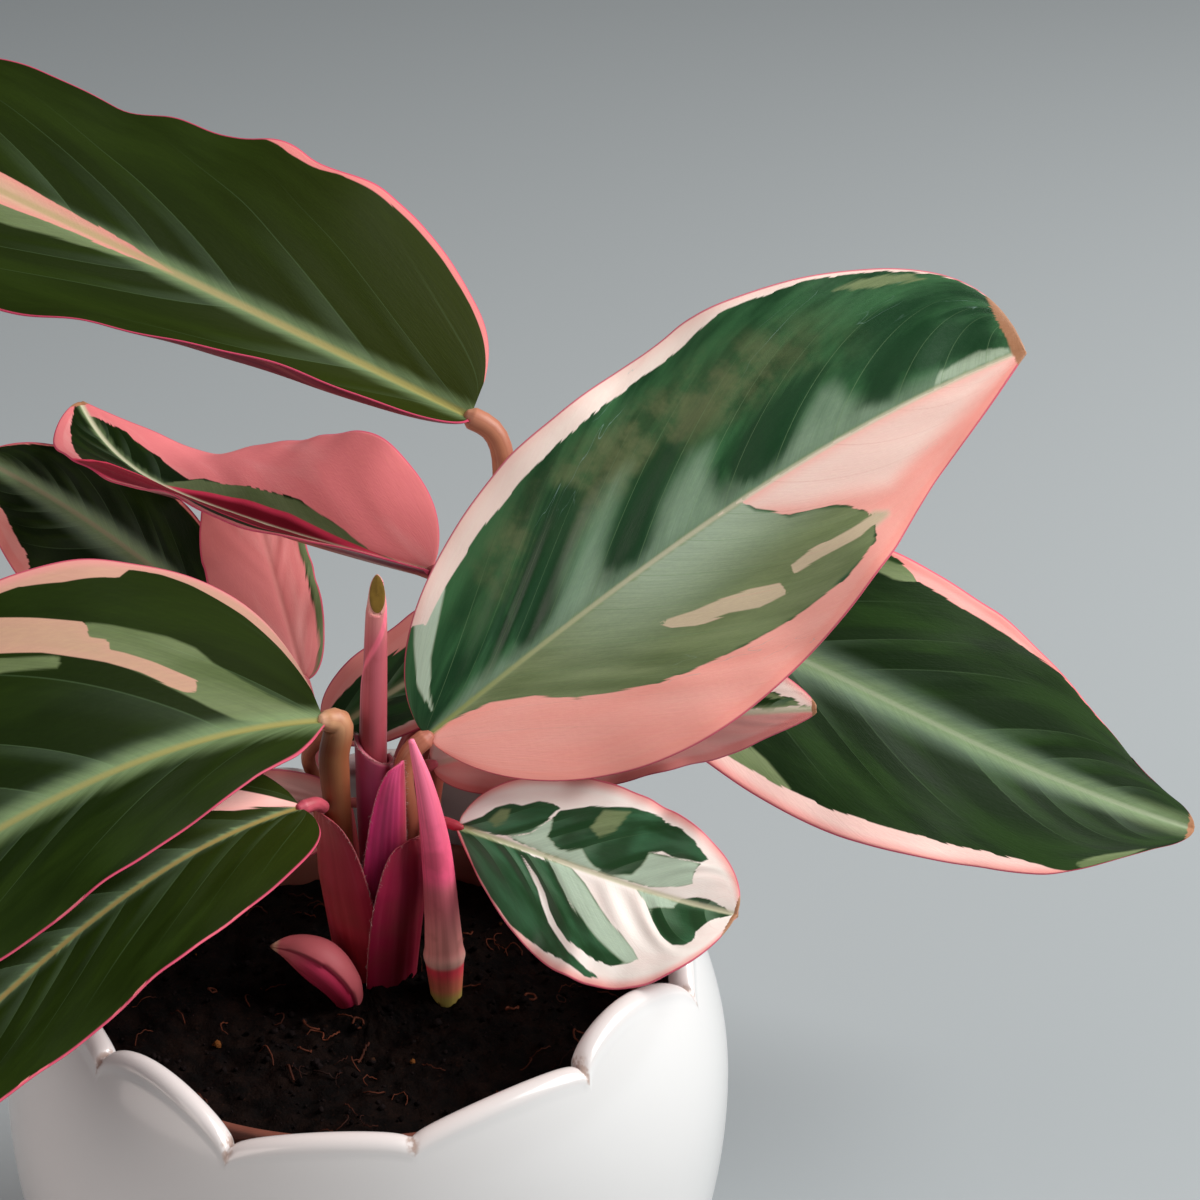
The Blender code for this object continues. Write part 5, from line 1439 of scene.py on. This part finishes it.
def soil_material():
    """Black-brown peat."""
    peat = Shader("peat")
    place = peat.place()
    coarse = peat.noise(place, scale=260.0, detail=5.0, rough=0.65)
    fine = peat.noise(place, scale=1400.0, detail=4.0, rough=0.7)
    colour = peat.lay((0.0015, 0.0007, 0.0006), (0.007, 0.0028, 0.0018), coarse, 0.35, 0.7)
    colour = peat.lay(colour, (0.030, 0.010, 0.005), fine, 0.60, 0.74, 0.0, 0.6)
    return peat.finish(Base_Color=colour, Roughness=0.85, Specular_IOR_Level=0.06,
                       Normal=peat.bump(fine, 0.0006, 0.9))


CRUMBS = 600
CRUMB_CORNERS = ((1, 0, 0), (-1, 0, 0), (0, 1, 0), (0, -1, 0), (0, 0, 1), (0, 0, -1), (0.6, 0.6, 0.6),
                 (-0.6, 0.6, -0.5), (0.6, -0.6, -0.5), (-0.6, -0.6, 0.6))
CRUMB_FACES = ((0, 2, 6), (2, 4, 6), (4, 0, 6), (1, 4, 2), (1, 2, 7), (2, 5, 7), (5, 1, 7), (0, 3, 8),
               (3, 5, 8), (5, 0, 8), (0, 5, 2), (1, 3, 9), (3, 4, 9), (4, 1, 9), (3, 0, 4), (1, 5, 3))
FIBRES = 80
FIBRE_STEPS = 12
FIBRE_STEP = 0.42


def scattered(pick, edge, share):
    """A random place on the soil."""
    radius = edge * math.sqrt(pick.random()) * share
    angle = pick.random() * 2 * math.pi
    return radius * math.cos(angle), radius * math.sin(angle)


def add_soil():
    """Peat that fills the nursery pot, with crumbs, lumps and fibres on its top."""
    peat = soil_material()
    edge = cup_radius(SOIL_TOP - 2, CUP_WALL + 0.3)
    degrees = np.arange(SOIL_SIDES) * 360 / SOIL_SIDES
    angles = np.radians(degrees)
    inset = CUP_WALL + SOIL_GAP
    foot = CUP_FOOT + CUP_WALL + SOIL_GAP
    rings = [(cup_radius(foot, inset), foot), (cup_radius(40, inset), 40.0)]
    for share in np.linspace(1.0, 0.01, SOIL_RINGS):
        radius = edge * share
        x, y = radius * np.cos(angles), radius * np.sin(angles)
        rough = np.array([rough_height(a, b) for a, b in zip(x, y)])
        rings.append((radius, soil_height(x, y) + rough - 0.5))
    soil = turned("soil_peat", rings, degrees, peat, {})
    place_on_frame(soil, "soil")
    pick = random.Random(7)
    crumb = Shader("crumb")
    spread = crumb.noise(crumb.place(), scale=150.0, detail=1.0)
    colour = crumb.lay((0.002, 0.001, 0.001), (0.008, 0.005, 0.005), spread, 0.35, 0.65)
    colour = crumb.lay(colour, (0.12, 0.04, 0.01), spread, 0.70, 0.76)
    fine = crumb.noise(crumb.place(), scale=1800.0, detail=3.0)
    crumb_surface = crumb.finish(Base_Color=colour, Roughness=0.9, Specular_IOR_Level=0.04,
                                 Normal=crumb.bump(fine, 0.0003))
    vertices = []
    faces = []
    for _ in range(CRUMBS):
        x, y = scattered(pick, edge, 0.985)
        size = 0.25 + 0.65 * pick.random() ** 3
        z = float(soil_height(x, y)) + rough_height(x, y) - 0.45 + size * 0.3
        first = len(vertices)
        for corner in CRUMB_CORNERS:
            vertices.append([c * size * (0.6 + 0.6 * pick.random()) + o for c, o in zip(corner, (x, y, z))])
        faces += [tuple(first + k for k in face) for face in CRUMB_FACES]
    crumbs = mesh_object("soil_crumbs", np.array(vertices) * MM, faces, [crumb_surface])
    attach(crumbs, "root")
    add_fibres(edge, pick)


def add_fibres(edge, pick):
    """Red-brown root fibres that curl over the peat."""
    vertices = []
    faces = []
    for _ in range(FIBRES):
        x, y = scattered(pick, edge, 0.93)
        heading = pick.random() * 2 * math.pi
        bend = pick.gauss(0, 0.45)
        thick = 0.09 + 0.16 * pick.random() ** 2
        first = len(vertices)
        for k in range(FIBRE_STEPS):
            arch = 0.7 * math.sin(math.pi * k / (FIBRE_STEPS - 1))
            z = float(soil_height(x, y)) + rough_height(x, y) - 0.3 + arch
            for corner in range(4):
                a = corner * math.pi / 2
                vertices.append([x + thick * math.cos(a) * math.sin(heading),
                                 y - thick * math.cos(a) * math.cos(heading), z + thick * math.sin(a)])
            x += FIBRE_STEP * math.cos(heading)
            y += FIBRE_STEP * math.sin(heading)
            heading += bend * 0.6
        for k in range(FIBRE_STEPS - 1):
            for corner in range(4):
                a, b = first + 4 * k + corner, first + 4 * k + (corner + 1) % 4
                faces.append((a, b, b + 4, a + 4))
    fibre = Shader("fibre")
    spread = fibre.noise(fibre.place(), scale=90.0, detail=1.0)
    colour = fibre.lay((0.010, 0.003, 0.002), (0.09, 0.022, 0.010), spread, 0.3, 0.7)
    surface = fibre.finish(Base_Color=colour, Roughness=0.7, Specular_IOR_Level=0.1)
    fibres = mesh_object("soil_fibres", np.array(vertices) * MM, faces, [surface])
    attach(fibres, "root")


# Floor, lights and camera

STAGE_SIZE = 14
STAGE_PLACE = (0, 4, 0)
STAGE_COLOUR = (0.375, 0.405, 0.42)
SKY_COLOUR = (0.93, 0.97, 1.0, 1)
SKY_STRENGTH = 0.13
# name, place, size, power and colour
LIGHTS = (
    ("window", (1.1, -0.02, 0.98), 1.0, 35, (1.0, 0.99, 0.97)),
    ("left_fill", (-0.9, -0.6, 0.5), 0.9, 6.5, (1.0, 0.86, 0.80)),
)
LIGHT_AIM = (0.0, 0.0, 0.1)
CAMERA_PLACE = (0.0385, -0.441, 0.3487)
CAMERA_DOWN = 24.4
LENS = 92.8
SENSOR = 36


def add_stage():
    """A plain pale floor, soft studio light and the camera at the photograph's angle."""
    bpy.ops.mesh.primitive_plane_add(size=STAGE_SIZE, location=STAGE_PLACE)
    floor = bpy.context.active_object
    floor.name = "floor"
    pale = Shader("floor").finish(Base_Color=STAGE_COLOUR, Roughness=0.9, Specular_IOR_Level=0.1)
    floor.data.materials.append(pale)
    world = bpy.data.worlds.new("studio")
    world.use_nodes = True
    sky = world.node_tree.nodes["Background"].inputs
    sky["Color"].default_value = SKY_COLOUR
    sky["Strength"].default_value = SKY_STRENGTH
    bpy.context.scene.world = world
    for name, place, size, power, colour in LIGHTS:
        light = bpy.data.lights.new(name, "AREA")
        light.size = size
        light.energy = power
        light.color = colour
        lamp = bpy.data.objects.new(name, light)
        bpy.context.scene.collection.objects.link(lamp)
        lamp.location = place
        lamp.rotation_euler = (Vector(LIGHT_AIM) - Vector(place)).to_track_quat("-Z", "Y").to_euler()
    camera = bpy.data.cameras.new("camera")
    camera.lens = LENS
    camera.sensor_width = SENSOR
    camera.clip_start = 0.01
    view = bpy.data.objects.new("camera", camera)
    bpy.context.scene.collection.objects.link(view)
    view.location = CAMERA_PLACE
    view.rotation_euler = (math.radians(90 - CAMERA_DOWN), 0, 0)
    bpy.context.scene.camera = view
    bpy.context.scene.view_settings.view_transform = "Standard"


def main():
    for leaf in LEAVES:
        add_leaf(leaf)
    for leaf, stalk in zip(LEAVES, STALKS):
        add_stalk(leaf, *stalk)
    add_new_leaf()
    add_shoots()
    for sheath in SHEATHS:
        add_sheath(*sheath)
    add_spike_sheath()
    add_planter()
    add_cup()
    add_soil()
    add_stage()


main()
